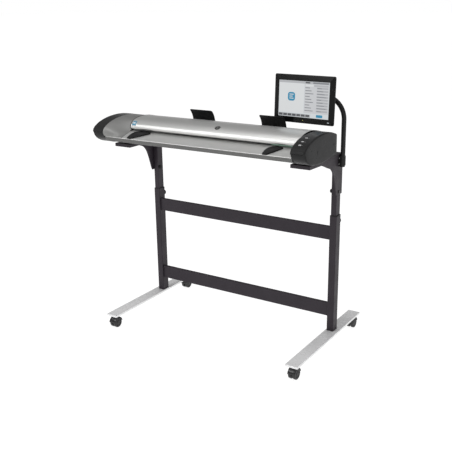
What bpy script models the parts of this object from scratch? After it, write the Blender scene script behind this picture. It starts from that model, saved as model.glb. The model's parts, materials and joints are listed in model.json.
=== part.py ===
"""Large-format document scanner on a wheeled, height-adjustable stand, with a monitor on a bent tube.

Lengths are in metres. Design coordinates run X from the middle of the stand (right is +X), Y from the
posts' centre line (the operator stands at -Y) and Z up from the floor. The empty "origin" moves them so
that the object's own origin is the middle of its footprint, at floor level.
"""

import math

import bmesh
import bpy
from mathutils import Vector

# ---------------------------------------------------------------- driving dimensions

SCANNER_LEFT = -0.678          # outer faces of the two end caps
SCANNER_RIGHT = 0.649
FOOT_FRONT = -0.500            # ends of the foot bars
FOOT_REAR = 0.297
FOOT_TOP = 0.088
GAP = 0.0003                   # between pieces that touch
SIDES = (("left", -1), ("right", 1))

POST_X = 0.5966                # centre of each post
POST_WALL = 0.002
LOWER_POST = (0.040, 0.0545)   # section, X by Y
UPPER_POST = (0.031, 0.0495)
LOWER_POST_TOP = FOOT_TOP + 0.671
UPPER_POST_INSERTED = 0.300

FOOT_WIDTH = 0.073
FOOT_THICK = 0.012
FOOT_X = POST_X + 0.0078

CROSSBAR_DEPTH = 0.019
CROSSBAR_FRONT = -0.017
UPPER_BAR_Z = (0.621, 0.6974)
LOWER_BAR_Z = (0.1718, 0.2512)

WHEEL_RADIUS = 0.030
CASTER_INSET = 0.049           # swivel axis behind the end of the foot bar
CASTER_TRAIL = 0.014
WHEEL_SIDES = 24

SHELF_TOP = 1.101
SHELF_DEPTH = 0.018
SHELF_FRONT = -0.359
SHELF_INNER = 0.511
PLATE_INNER = POST_X + UPPER_POST[0] / 2 + GAP
PLATE_OUTER = PLATE_INNER + 0.006
BRACKET_BOLT = (-0.010, 0.895)  # Y, Z of the through bolt
LOCK_Z = 0.722
PAD_TOP = 1.1068               # the scanner stands on its two feet here

END_CAP_WIDTH = 0.078
CAP_LEFT_INNER = SCANNER_LEFT + END_CAP_WIDTH
CAP_RIGHT_INNER = SCANNER_RIGHT - END_CAP_WIDTH
LID_LEFT = -0.480
LID_GAP = 0.0032               # shadow gap at the lid's left end
BODY_REAR = -0.1195
SHEET = 0.0025

TABLE_FRONT = (-0.457, 1.158)  # front edge of the feed table, Y and Z
TABLE_SLOT = (-0.375, 1.184)   # where the table meets the document slot
GLASS_Z = (1.1853, 1.1893)
FRONT_ROLLER = (-0.322, 1.1795)
REAR_ROLLER = (-0.178, 1.1795)
MOTOR = (-0.250, 1.145)
ROLLER_RADIUS = 0.010
ROLLER_PULLEY = 0.012
MOTOR_PULLEY = 0.008
PULLEY_X = (0.577, 0.585)
HINGE = (-0.146, 1.226)        # lid hinge rod, Y and Z
HINGE_RADIUS = 0.004

TUBE_RADIUS = 0.0125
TUBE_X = PLATE_OUTER + TUBE_RADIUS + GAP
TUBE_Y = -0.005
TUBE_BEND = 0.116
TUBE_BOTTOM = 1.032
TUBE_BEND_START = 1.278

SCREEN = (0.300, 0.185)
MONITOR = (0.358, 0.247)
MONITOR_X = 0.4425
MONITOR_Z = 1.377
MONITOR_FRONT = -0.085
MONITOR_REAR = -0.051
PAN_POINT = (MONITOR_X, TUBE_Y)
TILT_POINT = (-0.034, TUBE_BEND_START + TUBE_BEND)
PAN_ANGLE = math.radians(-4)
TILT_ANGLE = math.radians(-3)

ORIGIN = Vector((-(SCANNER_LEFT + SCANNER_RIGHT) / 2, -(FOOT_FRONT + FOOT_REAR) / 2, 0))


# ---------------------------------------------------------------- outlines

# Side profile of an end cap, Y and Z. The skin runs from the nose over the top, the chin below it.
NOSE = (-0.4765, 1.184)
CAP_SKIN = [NOSE, (-0.4695, 1.1985), (-0.4505, 1.2135), (-0.4105, 1.2315), (-0.346, 1.2460), (-0.265, 1.2512),
            (-0.190, 1.2452), (-0.128, 1.2285)]
CAP_REAR = [(-0.1185, 1.2220), (-0.1175, 1.1340), (-0.1240, 1.1265)]
CAP_CHIN = [(-0.135, 1.122), (-0.188, 1.115), (-0.256, 1.1085), (-0.312, 1.107), (-0.366, 1.111),
            (-0.408, 1.120), (-0.4435, 1.1375), (-0.4635, 1.1575), (-0.4727, 1.1785)]
CHIN_LIP = (-0.4760, 1.1795)

# Front edge of the feed table and of the fairing: a rounded lip over a low band.
BAND = [TABLE_FRONT, (-0.4590, 1.1545), (-0.4582, 1.1470), (-0.4535, 1.1385), (-0.4480, 1.1362)]

# The lid, from the lip over the document slot to its rear edge.
LID_LIP = (-0.3600, 1.1948)
LID_PATH = [LID_LIP, (-0.3700, 1.1950), (-0.3785, 1.1985), (-0.3825, 1.2070), (-0.3750, 1.2250),
            (-0.3560, 1.2410), (-0.3300, 1.2500), (-0.2940, 1.2550), (-0.2500, 1.2555), (-0.2000, 1.2495),
            (-0.1500, 1.2380), (-0.1375, 1.2345)]

# The left fairing: under the cap's nose, and where it meets the lid.
FAIRING_NOSE = [(-0.4740, 1.1740), (-0.4680, 1.1640), (-0.4600, 1.1585)]
FAIRING_END = [(-0.1285, 1.2275), (-0.1900, 1.2440), (-0.2500, 1.2515), (-0.2900, 1.2480), (-0.3250, 1.2330),
               (-0.3500, 1.2110), (-0.3680, 1.1945), (-0.3850, 1.1832), (-0.4000, 1.1768), (-0.4300, 1.1666)]
FAIRING_POINTS = 22
FAIRING_RINGS = 8

# A return guide, from its foot on the scanner's rear wall to its upper edge.
RETURN_PATH = [(-0.1175, 1.1480), (-0.1110, 1.1540), (-0.1080, 1.1750), (-0.1085, 1.2100), (-0.1160, 1.2450),
               (-0.1290, 1.2720), (-0.1450, 1.2900)]

# Front and lower edge of a support bracket's side plate.
PLATE_PATH = [(-0.229, 1.0795), (-0.190, 1.0660), (-0.150, 1.0500), (-0.118, 1.0390), (-0.096, 1.0200),
              (-0.081, 0.9960), (-0.068, 0.9640), (-0.0560, 0.9280), (-0.0480, 0.9020), (-0.0400, 0.8810)]


def spline(points, steps):
    """Points on a Catmull-Rom curve through the given ones, ends included."""
    ends = [points[0]] + list(points) + [points[-1]]
    curve = []
    for a, b, c, d in zip(ends, ends[1:], ends[2:], ends[3:]):
        for i in range(steps):
            t = i / steps
            curve.append(tuple(
                0.5 * (2 * q + (r - p) * t + (2 * p - 5 * q + 4 * r - s) * t * t
                       + (3 * q - p - 3 * r + s) * t ** 3)
                for p, q, r, s in zip(a, b, c, d)))
    return curve + [tuple(points[-1])]


def offset_path(path, distance):
    """The open path moved sideways, to the right of its direction for a positive distance."""
    moved = []
    for i, point in enumerate(path):
        before = path[max(i - 1, 0)]
        after = path[min(i + 1, len(path) - 1)]
        along = Vector((after[0] - before[0], after[1] - before[1])).normalized()
        moved.append((point[0] + along.y * distance, point[1] - along.x * distance))
    return moved


def sheet_outline(path, thickness):
    """Closed outline of a sheet that follows the path, thickened to its right."""
    return list(path) + offset_path(path, thickness)[::-1]


def inset(outline, distance):
    """A closed outline moved inwards by the distance."""
    count = len(outline)
    area = sum(outline[i][0] * outline[(i + 1) % count][1] - outline[(i + 1) % count][0] * outline[i][1]
               for i in range(count))
    side = 1 if area > 0 else -1
    moved = []
    for i, point in enumerate(outline):
        here = Vector(point)
        into = (here - Vector(outline[i - 1])).normalized()
        out = (Vector(outline[(i + 1) % count]) - here).normalized()
        normal = Vector((-into.y - out.y, into.x + out.x)).normalized() * side
        spread = max(normal.dot(Vector((-into.y, into.x)) * side), 0.6)
        moved.append(tuple(here + normal * distance / spread))
    return moved


def arc(centre, radius, start, end, steps):
    """Points on an arc, angles in degrees."""
    angles = [math.radians(start + (end - start) * i / steps) for i in range(steps + 1)]
    return [(centre[0] + radius * math.cos(a), centre[1] + radius * math.sin(a)) for a in angles]


def rounded_rectangle(centre, size, radius, steps=3):
    """Closed outline of a rectangle with round corners."""
    outline = []
    for quarter, (sx, sy) in enumerate(((1, 1), (-1, 1), (-1, -1), (1, -1))):
        corner = (centre[0] + sx * (size[0] / 2 - radius), centre[1] + sy * (size[1] / 2 - radius))
        outline += arc(corner, radius, 90 * quarter, 90 * quarter + 90, steps)
    return outline


def table_height(y):
    """Height of the feed table's surface."""
    slope = (TABLE_SLOT[1] - TABLE_FRONT[1]) / (TABLE_SLOT[0] - TABLE_FRONT[0])
    return TABLE_FRONT[1] + slope * (y - TABLE_FRONT[0])


# ---------------------------------------------------------------- building blocks

joint_points = {}


def joint(name, point, parent=None, rotation=(0, 0, 0)):
    """An empty on a moving piece's axis. Its children are placed in design coordinates."""
    empty = bpy.data.objects.new(name, None)
    bpy.context.scene.collection.objects.link(empty)
    empty.empty_display_size = 0.03
    base = joint_points[parent.name] if parent else Vector((0, 0, 0))
    empty.parent = parent
    empty.location = Vector(point) - base
    empty.rotation_euler = rotation
    joint_points[empty.name] = Vector(point)
    return empty


def material(name, colour, roughness, metallic=0.0):
    """A plain Principled material."""
    made = bpy.data.materials.new(name)
    made.use_nodes = True
    shader = made.node_tree.nodes["Principled BSDF"]
    shader.inputs["Base Color"].default_value = (*colour, 1)
    shader.inputs["Roughness"].default_value = roughness
    shader.inputs["Metallic"].default_value = metallic
    made.diffuse_color = (*colour, 1)
    return made


def add_piece(name, points, faces, finish, parent):
    """A mesh object from points in design coordinates, with its faces pointing out."""
    mesh = bpy.data.meshes.new(name)
    mesh.from_pydata([tuple(p) for p in points], [], faces)
    work = bmesh.new()
    work.from_mesh(mesh)
    bmesh.ops.recalc_face_normals(work, faces=work.faces)
    work.to_mesh(mesh)
    work.free()
    mesh.shade_smooth()
    mesh.set_sharp_from_angle(angle=math.radians(35))
    mesh.materials.append(finish)
    piece = bpy.data.objects.new(name, mesh)
    bpy.context.scene.collection.objects.link(piece)
    piece.parent = parent
    piece.location = -joint_points[parent.name]
    return piece


def skin(name, rings, finish, parent, closed=False):
    """A solid through rings of points, closed on itself or capped at both ends."""
    count = len(rings[0])
    points = [p for ring in rings for p in ring]
    faces = []
    last = len(rings) if closed else len(rings) - 1
    for i in range(last):
        a, b = i * count, ((i + 1) % len(rings)) * count
        for j in range(count):
            k = (j + 1) % count
            faces.append((a + j, a + k, b + k, b + j))
    if not closed:
        faces.append(tuple(range(count))[::-1])
        faces.append(tuple((len(rings) - 1) * count + j for j in range(count)))
    return add_piece(name, points, faces, finish, parent)


def on_plane(outline, axis, along):
    """Outline points as 3-D points on the plane that the axis crosses at along."""
    places = {"X": lambda u, v: (along, u, v), "Y": lambda u, v: (u, along, v),
              "Z": lambda u, v: (u, v, along)}
    return [places[axis](u, v) for u, v in outline]


def prism(name, outline, axis, start, end, finish, parent):
    """A solid with a constant section along an axis."""
    return skin(name, [on_plane(outline, axis, start), on_plane(outline, axis, end)], finish, parent)


def hollow_prism(name, outer, inner, axis, start, end, finish, parent):
    """A tube with a constant section, open at both ends."""
    rings = [on_plane(outer, axis, start), on_plane(outer, axis, end),
             on_plane(inner, axis, end), on_plane(inner, axis, start)]
    return skin(name, rings, finish, parent, closed=True)


def box(name, low, high, finish, parent, bevel=0.0):
    """A box between two corners, given in any order."""
    x, y = sorted((low[0], high[0])), sorted((low[1], high[1]))
    outline = [(x[0], y[0]), (x[1], y[0]), (x[1], y[1]), (x[0], y[1])]
    piece = prism(name, outline, "Z", low[2], high[2], finish, parent)
    if bevel:
        add_bevel(piece, bevel)
    return piece


def turned(name, profile, centre, axis, finish, parent, sides=24, start_angle=0.0):
    """A turned solid. The profile is a list of (radius, position along the axis)."""
    rings = []
    for radius, along in profile:
        circle = [(centre[0] + radius * math.cos(start_angle + math.tau * i / sides),
                   centre[1] + radius * math.sin(start_angle + math.tau * i / sides)) for i in range(sides)]
        rings.append(on_plane(circle, axis, along))
    return skin(name, rings, finish, parent)


def rod(name, radius, centre, axis, start, end, finish, parent, sides=16):
    """A plain round bar."""
    return turned(name, [(radius, start), (radius, end)], centre, axis, finish, parent, sides)


def add_bevel(piece, width, segments=2):
    """Rounds the sharp edges of a piece."""
    bevel = piece.modifiers.new("Bevel", "BEVEL")
    bevel.width = width
    bevel.segments = segments
    bevel.limit_method = "ANGLE"
    bevel.angle_limit = math.radians(50)
    apply_modifiers(piece)


def apply_modifiers(piece):
    """Replaces a piece's mesh by its evaluated mesh."""
    bpy.context.view_layer.update()
    graph = bpy.context.evaluated_depsgraph_get()
    mesh = bpy.data.meshes.new_from_object(piece.evaluated_get(graph), depsgraph=graph)
    piece.modifiers.clear()
    piece.data = mesh
    mesh.shade_smooth()
    mesh.set_sharp_from_angle(angle=math.radians(35))


def combine(piece, operation, others):
    """Joins other solids to a piece, or cuts them out of it, and removes them."""
    for other in others:
        boolean = piece.modifiers.new("Boolean", "BOOLEAN")
        boolean.operation = operation
        boolean.solver = "EXACT"
        boolean.object = other
    apply_modifiers(piece)
    for other in others:
        bpy.data.objects.remove(other)


# ---------------------------------------------------------------- stand

def build_feet(finish, parent):
    for side, sign in SIDES:
        x = sign * FOOT_X
        box(f"foot_{side}", (x - FOOT_WIDTH / 2, FOOT_FRONT, FOOT_TOP - FOOT_THICK),
            (x + FOOT_WIDTH / 2, FOOT_REAR, FOOT_TOP), finish, parent, bevel=0.0012)


def build_caster(name, x, y, trail, housing_finish, wheel_finish, root):
    """A twin-wheel swivel caster under a foot bar."""
    swivel = joint(f"{name}_swivel", (x, y, WHEEL_RADIUS), root)
    axle = (y + trail, WHEEL_RADIUS)
    hood = arc(axle, 0.0345, 12, 168, 14) + arc(axle, 0.0322, 168, 12, 14)
    web = arc(axle, 0.0335, 15, 165, 10) + arc(axle, 0.0100, 200, 340, 6)
    top = FOOT_TOP - FOOT_THICK - GAP
    housing = box(f"{name}_housing", (x - 0.022, y - 0.022, top - 0.003), (x + 0.022, y + 0.022, top),
                  housing_finish, swivel)
    neck = rod("neck", 0.013, (x, y), "Z", 0.050, top - 0.002, housing_finish, swivel, 20)
    hood = prism("hood", hood, "X", x - 0.023, x + 0.023, housing_finish, swivel)
    web = prism("web", web, "X", x - 0.003, x + 0.003, housing_finish, swivel)
    combine(housing, "UNION", [neck, hood, web])
    combine(housing, "DIFFERENCE",
            [rod("axle_hole", 0.0034, axle, "X", x - 0.01, x + 0.01, housing_finish, swivel),
             rod("wheel_room", 0.0318, axle, "X", x - 0.024, x - 0.0032, housing_finish, swivel, 32),
             rod("wheel_room", 0.0318, axle, "X", x + 0.0032, x + 0.024, housing_finish, swivel, 32)])
    spin = joint(f"{name}_axle", (x, *axle), swivel)
    reach = WHEEL_RADIUS / math.cos(math.pi / WHEEL_SIDES)
    half = [(0.0030, 0.0045), (0.0270, 0.0045), (reach, 0.0070), (reach, 0.0190), (0.0275, 0.0215),
            (0.0190, 0.0215), (0.0170, 0.0203)]
    profile = [(r, x - a) for r, a in half[::-1]] + [(r, x + a) for r, a in half]
    turned(f"{name}_wheels", profile, axle, "X", wheel_finish, spin, WHEEL_SIDES, math.pi / WHEEL_SIDES)


def build_posts(finish, knob_finish, root, column):
    """Lower posts, telescoping upper posts and the screws that lock the height."""
    for side, sign in SIDES:
        centre = (sign * POST_X, 0)
        outer = rounded_rectangle(centre, LOWER_POST, 0.0035)
        inner = rounded_rectangle(centre, [s - 2 * POST_WALL for s in LOWER_POST], 0.0015)
        lower = hollow_prism(f"lower_post_{side}", outer, inner, "Z", FOOT_TOP + GAP, LOWER_POST_TOP,
                             finish, root)
        hole = rod("lock_hole", 0.0043, (centre[0], LOCK_Z), "Y", 0.020, 0.035, finish, root)
        combine(lower, "DIFFERENCE", [hole])

        outer = rounded_rectangle(centre, UPPER_POST, 0.003)
        inner = rounded_rectangle(centre, [s - 2 * POST_WALL for s in UPPER_POST], 0.001)
        upper = hollow_prism(f"upper_post_{side}", outer, inner, "Z",
                             LOWER_POST_TOP - UPPER_POST_INSERTED, SHELF_TOP - 0.003 - GAP, finish, column)
        bolt_hole = rod("bolt_hole", 0.0043, BRACKET_BOLT, "X", centre[0] - 0.03, centre[0] + 0.03,
                        finish, column)
        combine(upper, "DIFFERENCE", [bolt_hole])

        screw = joint(f"lock_screw_{side}_axis", (centre[0], LOWER_POST[1] / 2, LOCK_Z), root)
        tip = UPPER_POST[1] / 2 + GAP
        profile = [(0.0035, tip), (0.0040, tip + 0.001), (0.0040, 0.0278), (0.0070, 0.0282), (0.0070, 0.0320),
                   (0.0145, 0.0330), (0.0160, 0.0350), (0.0160, 0.0440), (0.0145, 0.0460)]
        turned(f"height_lock_screw_{side}", profile, (centre[0], LOCK_Z), "Y", knob_finish, screw, 16)


def build_crossbars(finish, root):
    reach = POST_X - LOWER_POST[0] / 2 - GAP
    for name, (bottom, top) in (("upper_crossbar", UPPER_BAR_Z), ("lower_crossbar", LOWER_BAR_Z)):
        centre = (CROSSBAR_FRONT + CROSSBAR_DEPTH / 2, (bottom + top) / 2)
        size = (CROSSBAR_DEPTH, top - bottom)
        outer = rounded_rectangle(centre, size, 0.0025)
        inner = rounded_rectangle(centre, [s - 2 * POST_WALL for s in size], 0.001)
        hollow_prism(name, outer, inner, "X", -reach, reach, finish, root)


def build_brackets(finish, bolt_finish, pad_finish, column):
    """Support brackets: a shelf for the scanner on a side plate that is bolted to the upper post."""
    rear = UPPER_POST[1] / 2
    plate_outline = ([(SHELF_FRONT, SHELF_TOP), (SHELF_FRONT, SHELF_TOP - SHELF_DEPTH)]
                     + spline(PLATE_PATH, 2) + [(rear, PLATE_PATH[-1][1]), (rear, SHELF_TOP)])
    wall = 0.003
    for side, sign in SIDES:
        inner, outer = sign * SHELF_INNER, sign * PLATE_OUTER
        bracket = prism(f"support_bracket_{side}", plate_outline, "X", sign * PLATE_INNER, outer,
                        finish, column)
        bottom = SHELF_TOP - SHELF_DEPTH
        reach = sign * (PLATE_OUTER - 0.001)
        others = [
            box("shelf", (inner, SHELF_FRONT, SHELF_TOP - wall), (reach, rear, SHELF_TOP), finish, column),
            box("lip", (inner, SHELF_FRONT, bottom), (reach, SHELF_FRONT + wall, SHELF_TOP), finish, column),
            box("flange", (inner, SHELF_FRONT, bottom), (inner + sign * wall, rear, SHELF_TOP),
                finish, column)]
        combine(bracket, "UNION", others)
        hole = rod("bolt_hole", 0.0043, BRACKET_BOLT, "X", sign * 0.60, sign * 0.64, finish, column)
        combine(bracket, "DIFFERENCE", [hole])

        nut = POST_X - UPPER_POST[0] / 2 - GAP
        head = PLATE_OUTER + GAP
        profile = [(0.0105, nut - 0.0115), (0.0120, nut - 0.0100), (0.0120, nut), (0.0040, nut),
                   (0.0040, head), (0.0085, head), (0.0085, head + 0.0027), (0.0060, head + 0.0045)]
        turned(f"bracket_bolt_{side}", [(r, sign * a) for r, a in profile], BRACKET_BOLT, "X",
               bolt_finish, column, 16)
        pad_x = sign * 0.540
        box(f"scanner_foot_{side}", (pad_x - 0.025, -0.335, SHELF_TOP + GAP),
            (pad_x + 0.025, -0.285, PAD_TOP), pad_finish, column, bevel=0.001)


# ---------------------------------------------------------------- scanner

def cap_outline():
    """Closed side profile of an end cap."""
    return spline(CAP_SKIN, 3) + CAP_REAR + spline(CAP_CHIN, 2) + [CHIN_LIP]


def build_end_cap(side, inner_x, outer_x, finish, column):
    """A cup-shaped end cap, open towards the scanner."""
    sign = 1 if outer_x > inner_x else -1
    outline = cap_outline()
    cavity = inset(cap_outline(), 0.003)
    edge = [(0.0035, 0.0), (0.0015, 0.0006), (0.0004, 0.0018), (0.0, 0.0036)]
    rings = [on_plane(cavity, "X", outer_x - sign * 0.003), on_plane(cavity, "X", inner_x),
             on_plane(outline, "X", inner_x)]
    rings += [on_plane(inset(outline, amount), "X", outer_x - sign * back) for back, amount in edge]
    return skin(f"end_cap_{side}", rings, finish, column)


def skin_point(y):
    """Point and outward normal on the cap's skin at a given Y."""
    path = spline(CAP_SKIN, 6)
    for a, b in zip(path, path[1:]):
        if a[0] <= y <= b[0]:
            t = (y - a[0]) / (b[0] - a[0])
            along = (Vector(b) - Vector(a)).normalized()
            return (y, a[1] + t * (b[1] - a[1])), (-along.y, along.x)
    raise ValueError("no skin at this Y")


def pill(name, length, width, low, high, finish, parent):
    """A flat solid with round ends in a joint's own axes, its thickness along Z."""
    reach = (length - width) / 2
    outline = arc((reach, 0), width / 2, -90, 90, 8) + arc((-reach, 0), width / 2, 90, 270, 8)
    piece = prism(name, outline, "Z", low, high, finish, parent)
    piece.location = (0, 0, 0)
    return piece


def build_buttons(cap, finish, column):
    """Three push buttons on the right cap's skin, each through its own hole."""
    for name, y in (("button_scan", -0.440), ("button_copy", -0.412), ("button_eject", -0.371)):
        (py, pz), (ny, nz) = skin_point(y)
        tilt = math.atan2(-ny, nz)
        axis = joint(f"{name}_axis", (0.604, py, pz), column, (tilt, 0, 0))
        hole = pill("hole", 0.0166, 0.0090, -0.006, 0.006, finish, axis)
        combine(cap, "DIFFERENCE", [hole])
        button = pill(name, 0.0158, 0.0082, -0.0055, 0.0008, finish, axis)
        flange = pill("flange", 0.0200, 0.0124, -0.0070, -0.0052, finish, axis)
        combine(button, "UNION", [flange])


def build_base(finish, inlet_finish, port_finish, column):
    """The bottom pan that carries the works, with the sockets in its rear wall."""
    path = [(-0.444, 1.1330), (-0.425, 1.1268), (-0.409, 1.1218), (-0.366, 1.1128), (-0.312, 1.1088),
            (-0.256, 1.1103), (-0.188, 1.1168), (-0.135, 1.1240), (-0.1225, 1.1275), (BODY_REAR, 1.1330),
            (BODY_REAR, 1.1840)]
    base = prism("scanner_base", sheet_outline(path, -0.002), "X", CAP_LEFT_INNER + 0.001,
                 CAP_RIGHT_INNER - 0.001, finish, column)
    sockets = (("power_inlet", 0.510, (0.028, 0.020), inlet_finish),
               ("data_port", 0.460, (0.016, 0.014), port_finish))
    for name, x, (width, height), socket_finish in sockets:
        z = 1.158
        hole = box("hole", (x - width / 2 - GAP, -0.13, z - height / 2 - GAP),
                   (x + width / 2 + GAP, -0.11, z + height / 2 + GAP), finish, column)
        combine(base, "DIFFERENCE", [hole])
        socket = box(name, (x - width / 2, -0.145, z - height / 2), (x + width / 2, -0.1185, z + height / 2),
                     socket_finish, column)
        flange = box("flange", (x - width / 2 - 0.003, BODY_REAR + GAP, z - height / 2 - 0.003),
                     (x + width / 2 + 0.003, BODY_REAR + 0.002, z + height / 2 + 0.003),
                     socket_finish, column)
        combine(socket, "UNION", [flange])
        mouth = box("mouth", (x - width / 2 + 0.003, -0.135, z - height / 2 + 0.003),
                    (x + width / 2 - 0.003, -0.110, z + height / 2 - 0.003), socket_finish, column)
        combine(socket, "DIFFERENCE", [mouth])


def build_table(finish, column):
    """Front feed table: a sloped sheet with a rounded lip and a low band."""
    path = [(-0.335, 1.1893), (-0.350, 1.1885), TABLE_SLOT] + BAND
    prism("feed_table", sheet_outline(path, -SHEET), "X", LID_LEFT - LID_GAP + GAP, CAP_RIGHT_INNER - GAP,
          finish, column)


def resample(path, count):
    """The open path as count points, evenly spaced along it."""
    lengths = [0.0]
    for a, b in zip(path, path[1:]):
        lengths.append(lengths[-1] + math.dist(a, b))
    points, i = [], 0
    for n in range(count):
        wanted = lengths[-1] * n / (count - 1)
        while i < len(path) - 2 and lengths[i + 1] < wanted:
            i += 1
        t = (wanted - lengths[i]) / (lengths[i + 1] - lengths[i])
        points.append(tuple(p + (q - p) * t for p, q in zip(path[i], path[i + 1])))
    return points


def build_fairing(finish, column):
    """Left fairing: it starts with the cap's profile and runs out into the lid and the table."""
    rear = BODY_REAR - GAP
    cap_side = resample(spline([(rear, 1.2225)] + CAP_SKIN[::-1] + FAIRING_NOSE, 6), FAIRING_POINTS)
    lid_side = resample(spline([(rear, 1.2225)] + FAIRING_END + [TABLE_FRONT], 6), FAIRING_POINTS)
    start, end = CAP_LEFT_INNER + GAP, LID_LEFT - LID_GAP
    rings = []
    for i in range(FAIRING_RINGS + 1):
        t = i / FAIRING_RINGS
        blend = 0.6 * t + 0.4 * t * t * (3 - 2 * t)
        path = [tuple(p + (q - p) * blend for p, q in zip(a, b)) for a, b in zip(cap_side, lid_side)]
        rings.append(on_plane(sheet_outline(path + BAND[1:], -SHEET), "X", start + (end - start) * t))
    skin("left_fairing", rings, finish, column)


def build_rear_cover(finish, rod_finish, column):
    """Rear cover over the document exit, and the rod that the lid turns on."""
    path = [(-0.160, 1.2068), (-0.1215, 1.2068), (-0.1188, 1.2090), (-0.1188, 1.2220), (-0.1225, 1.2268),
            (-0.1325, 1.2308)]
    start, end = LID_LEFT - LID_GAP + GAP, CAP_RIGHT_INNER - GAP
    prism("rear_cover", sheet_outline(path, -0.002), "X", start, end, finish, column)
    rod("lid_hinge_rod", HINGE_RADIUS, HINGE, "X", start, end, rod_finish, column, 12)


def build_lid(finish, plate_finish, column):
    """The curved lid over the document path, with its ribs, hinge lugs and background plate."""
    hinge = joint("lid_hinge", (0, *HINGE), column)
    start, end = LID_LEFT, CAP_RIGHT_INNER - 0.001
    path = spline(LID_PATH, 3)
    lid = prism("lid_cover", sheet_outline(path, 0.003), "X", start, end, finish, hinge)
    wall = [LID_LIP] + path[1:] + [(-0.150, 1.2345)]
    others = [prism("wall", inset(wall, 0.0002), "X", x, x + 0.003, finish, hinge)
              for x in (start + 0.0002, end - 0.0032)]
    for x in (-0.420, 0.045, 0.510):
        others.append(box("lug", (x - 0.012, -0.1540, 1.2190), (x + 0.012, -0.1392, 1.2368), finish, hinge))
    for x in (-0.350, -0.050, 0.250, 0.540):
        others.append(box("rib", (x - 0.002, -0.296, 1.1960), (x + 0.002, -0.205, 1.2520), finish, hinge))
    for other in others:
        combine(lid, "UNION", [other])
    combine(lid, "DIFFERENCE",
            [rod("hinge_hole", HINGE_RADIUS + GAP, HINGE, "X", start - 0.01, end + 0.01, finish, hinge, 12)])
    box("background_plate", (-0.470, -0.300, 1.1925), (0.560, -0.200, 1.1957), plate_finish, hinge)


def build_works(finishes, column):
    """Glass, sensor, boards, rollers, motor and belt."""
    right = CAP_RIGHT_INNER - GAP
    box("scan_glass", (LID_LEFT, -0.305, GLASS_Z[0]), (right, -0.195, GLASS_Z[1]), finishes["glass"], column)
    box("sensor_bar", (-0.470, -0.285, 1.150), (0.480, -0.215, 1.182), finishes["black"], column, bevel=0.001)
    board = box("main_board", (-0.300, -0.300, 1.1280), (-0.050, -0.180, 1.1298), finishes["board"], column)
    chips = [box("chip", (x, y, 1.1290), (x + w, y + w, 1.1330), finishes["board"], column)
             for x, y, w in ((-0.270, -0.280, 0.030), (-0.200, -0.250, 0.022), (-0.120, -0.270, 0.026))]
    legs = [rod("leg", 0.003, (x, y), "Z", 1.1195, 1.1290, finishes["board"], column, 8)
            for x in (-0.290, -0.060) for y in (-0.290, -0.192)]
    combine(board, "UNION", chips + legs)
    box("power_supply", (0.100, -0.300, 1.1190), (0.290, -0.200, 1.1485), finishes["sheet"], column,
        bevel=0.001)

    for name, centre in (("front_feed_roller", FRONT_ROLLER), ("rear_feed_roller", REAR_ROLLER)):
        spin = joint(f"{name}_axis", (0, *centre), column)
        profile = [(0.004, LID_LEFT), (0.004, -0.470), (ROLLER_RADIUS, -0.470), (ROLLER_RADIUS, 0.560),
                   (0.004, 0.560), (0.004, PULLEY_X[0]), (ROLLER_PULLEY, PULLEY_X[0]),
                   (ROLLER_PULLEY, PULLEY_X[1]), (0.004, PULLEY_X[1]), (0.004, 0.590)]
        turned(name, profile, centre, "X", finishes["rubber"], spin, 16)
    turned("drive_motor", [(0.019, 0.500), (0.021, 0.502), (0.021, 0.553), (0.019, 0.555),
                           (0.011, 0.555), (0.011, 0.558)],
           MOTOR, "X", finishes["black"], column, 20)
    spin = joint("motor_shaft_axis", (0, *MOTOR), column)
    turned("motor_pulley", [(0.003, 0.5584), (0.003, PULLEY_X[0]), (MOTOR_PULLEY, PULLEY_X[0]),
                            (MOTOR_PULLEY, PULLEY_X[1]), (0.003, PULLEY_X[1]), (0.003, 0.590)],
           MOTOR, "X", finishes["steel"], spin, 16)

    wheels = ((FRONT_ROLLER, ROLLER_PULLEY), (REAR_ROLLER, ROLLER_PULLEY), (MOTOR, MOTOR_PULLEY))

    def loop(clear, steps=40):
        outline = []
        for i in range(steps):
            angle = math.tau * i / steps
            u = (math.cos(angle), math.sin(angle))
            centre, radius = max(wheels, key=lambda w: w[0][0] * u[0] + w[0][1] * u[1] + w[1])
            outline.append((centre[0] + (radius + clear) * u[0], centre[1] + (radius + clear) * u[1]))
        return outline

    hollow_prism("drive_belt", loop(0.0018), loop(0.0004), "X", PULLEY_X[0] + 0.001, PULLEY_X[1] - 0.001,
                 finishes["rubber"], column)


def build_paper_guides(finish, column):
    """Leaf-shaped guides that slide along the feed table, one longer than the other."""
    for side, x, width in (("left", -0.447, 0.112), ("right", 0.406, 0.080)):
        slider = joint(f"paper_guide_{side}_slide", (x, TABLE_FRONT[0], TABLE_FRONT[1]), column)
        front, rear = -0.460, -0.3770
        corner = [(x + 0.055 + 0.057 * math.cos(a), rear - 0.048 + 0.048 * math.sin(a))
                  for a in [math.radians(180 - 90 * i / 8) for i in range(9)]]
        outline = ([(x + 0.004, front), (x, front + 0.010)] + corner
                   + [(x + width - 0.006, rear - 0.003), (x + width, rear - 0.012), (x + 0.026, front)])
        rings = [[(px, py, table_height(py) + high) for px, py in inset(outline, tuck)]
                 for high, tuck in ((0.0004, 0.0), (0.0055, 0.0), (0.0075, 0.0016))]
        skin(f"paper_guide_{side}", rings, finish, slider)


def build_return_guides(finish, column):
    """Curved guides that turn the paper up and forward behind the lid."""
    outline = sheet_outline(spline(RETURN_PATH, 4), 0.003)
    for side, x in (("left", -0.243), ("right", 0.206)):
        slider = joint(f"return_guide_{side}_slide", (x + 0.075, -0.118, 1.150), column)
        prism(f"return_guide_{side}", outline, "X", x, x + 0.148, finish, slider)


# ---------------------------------------------------------------- monitor and its arm

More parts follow.
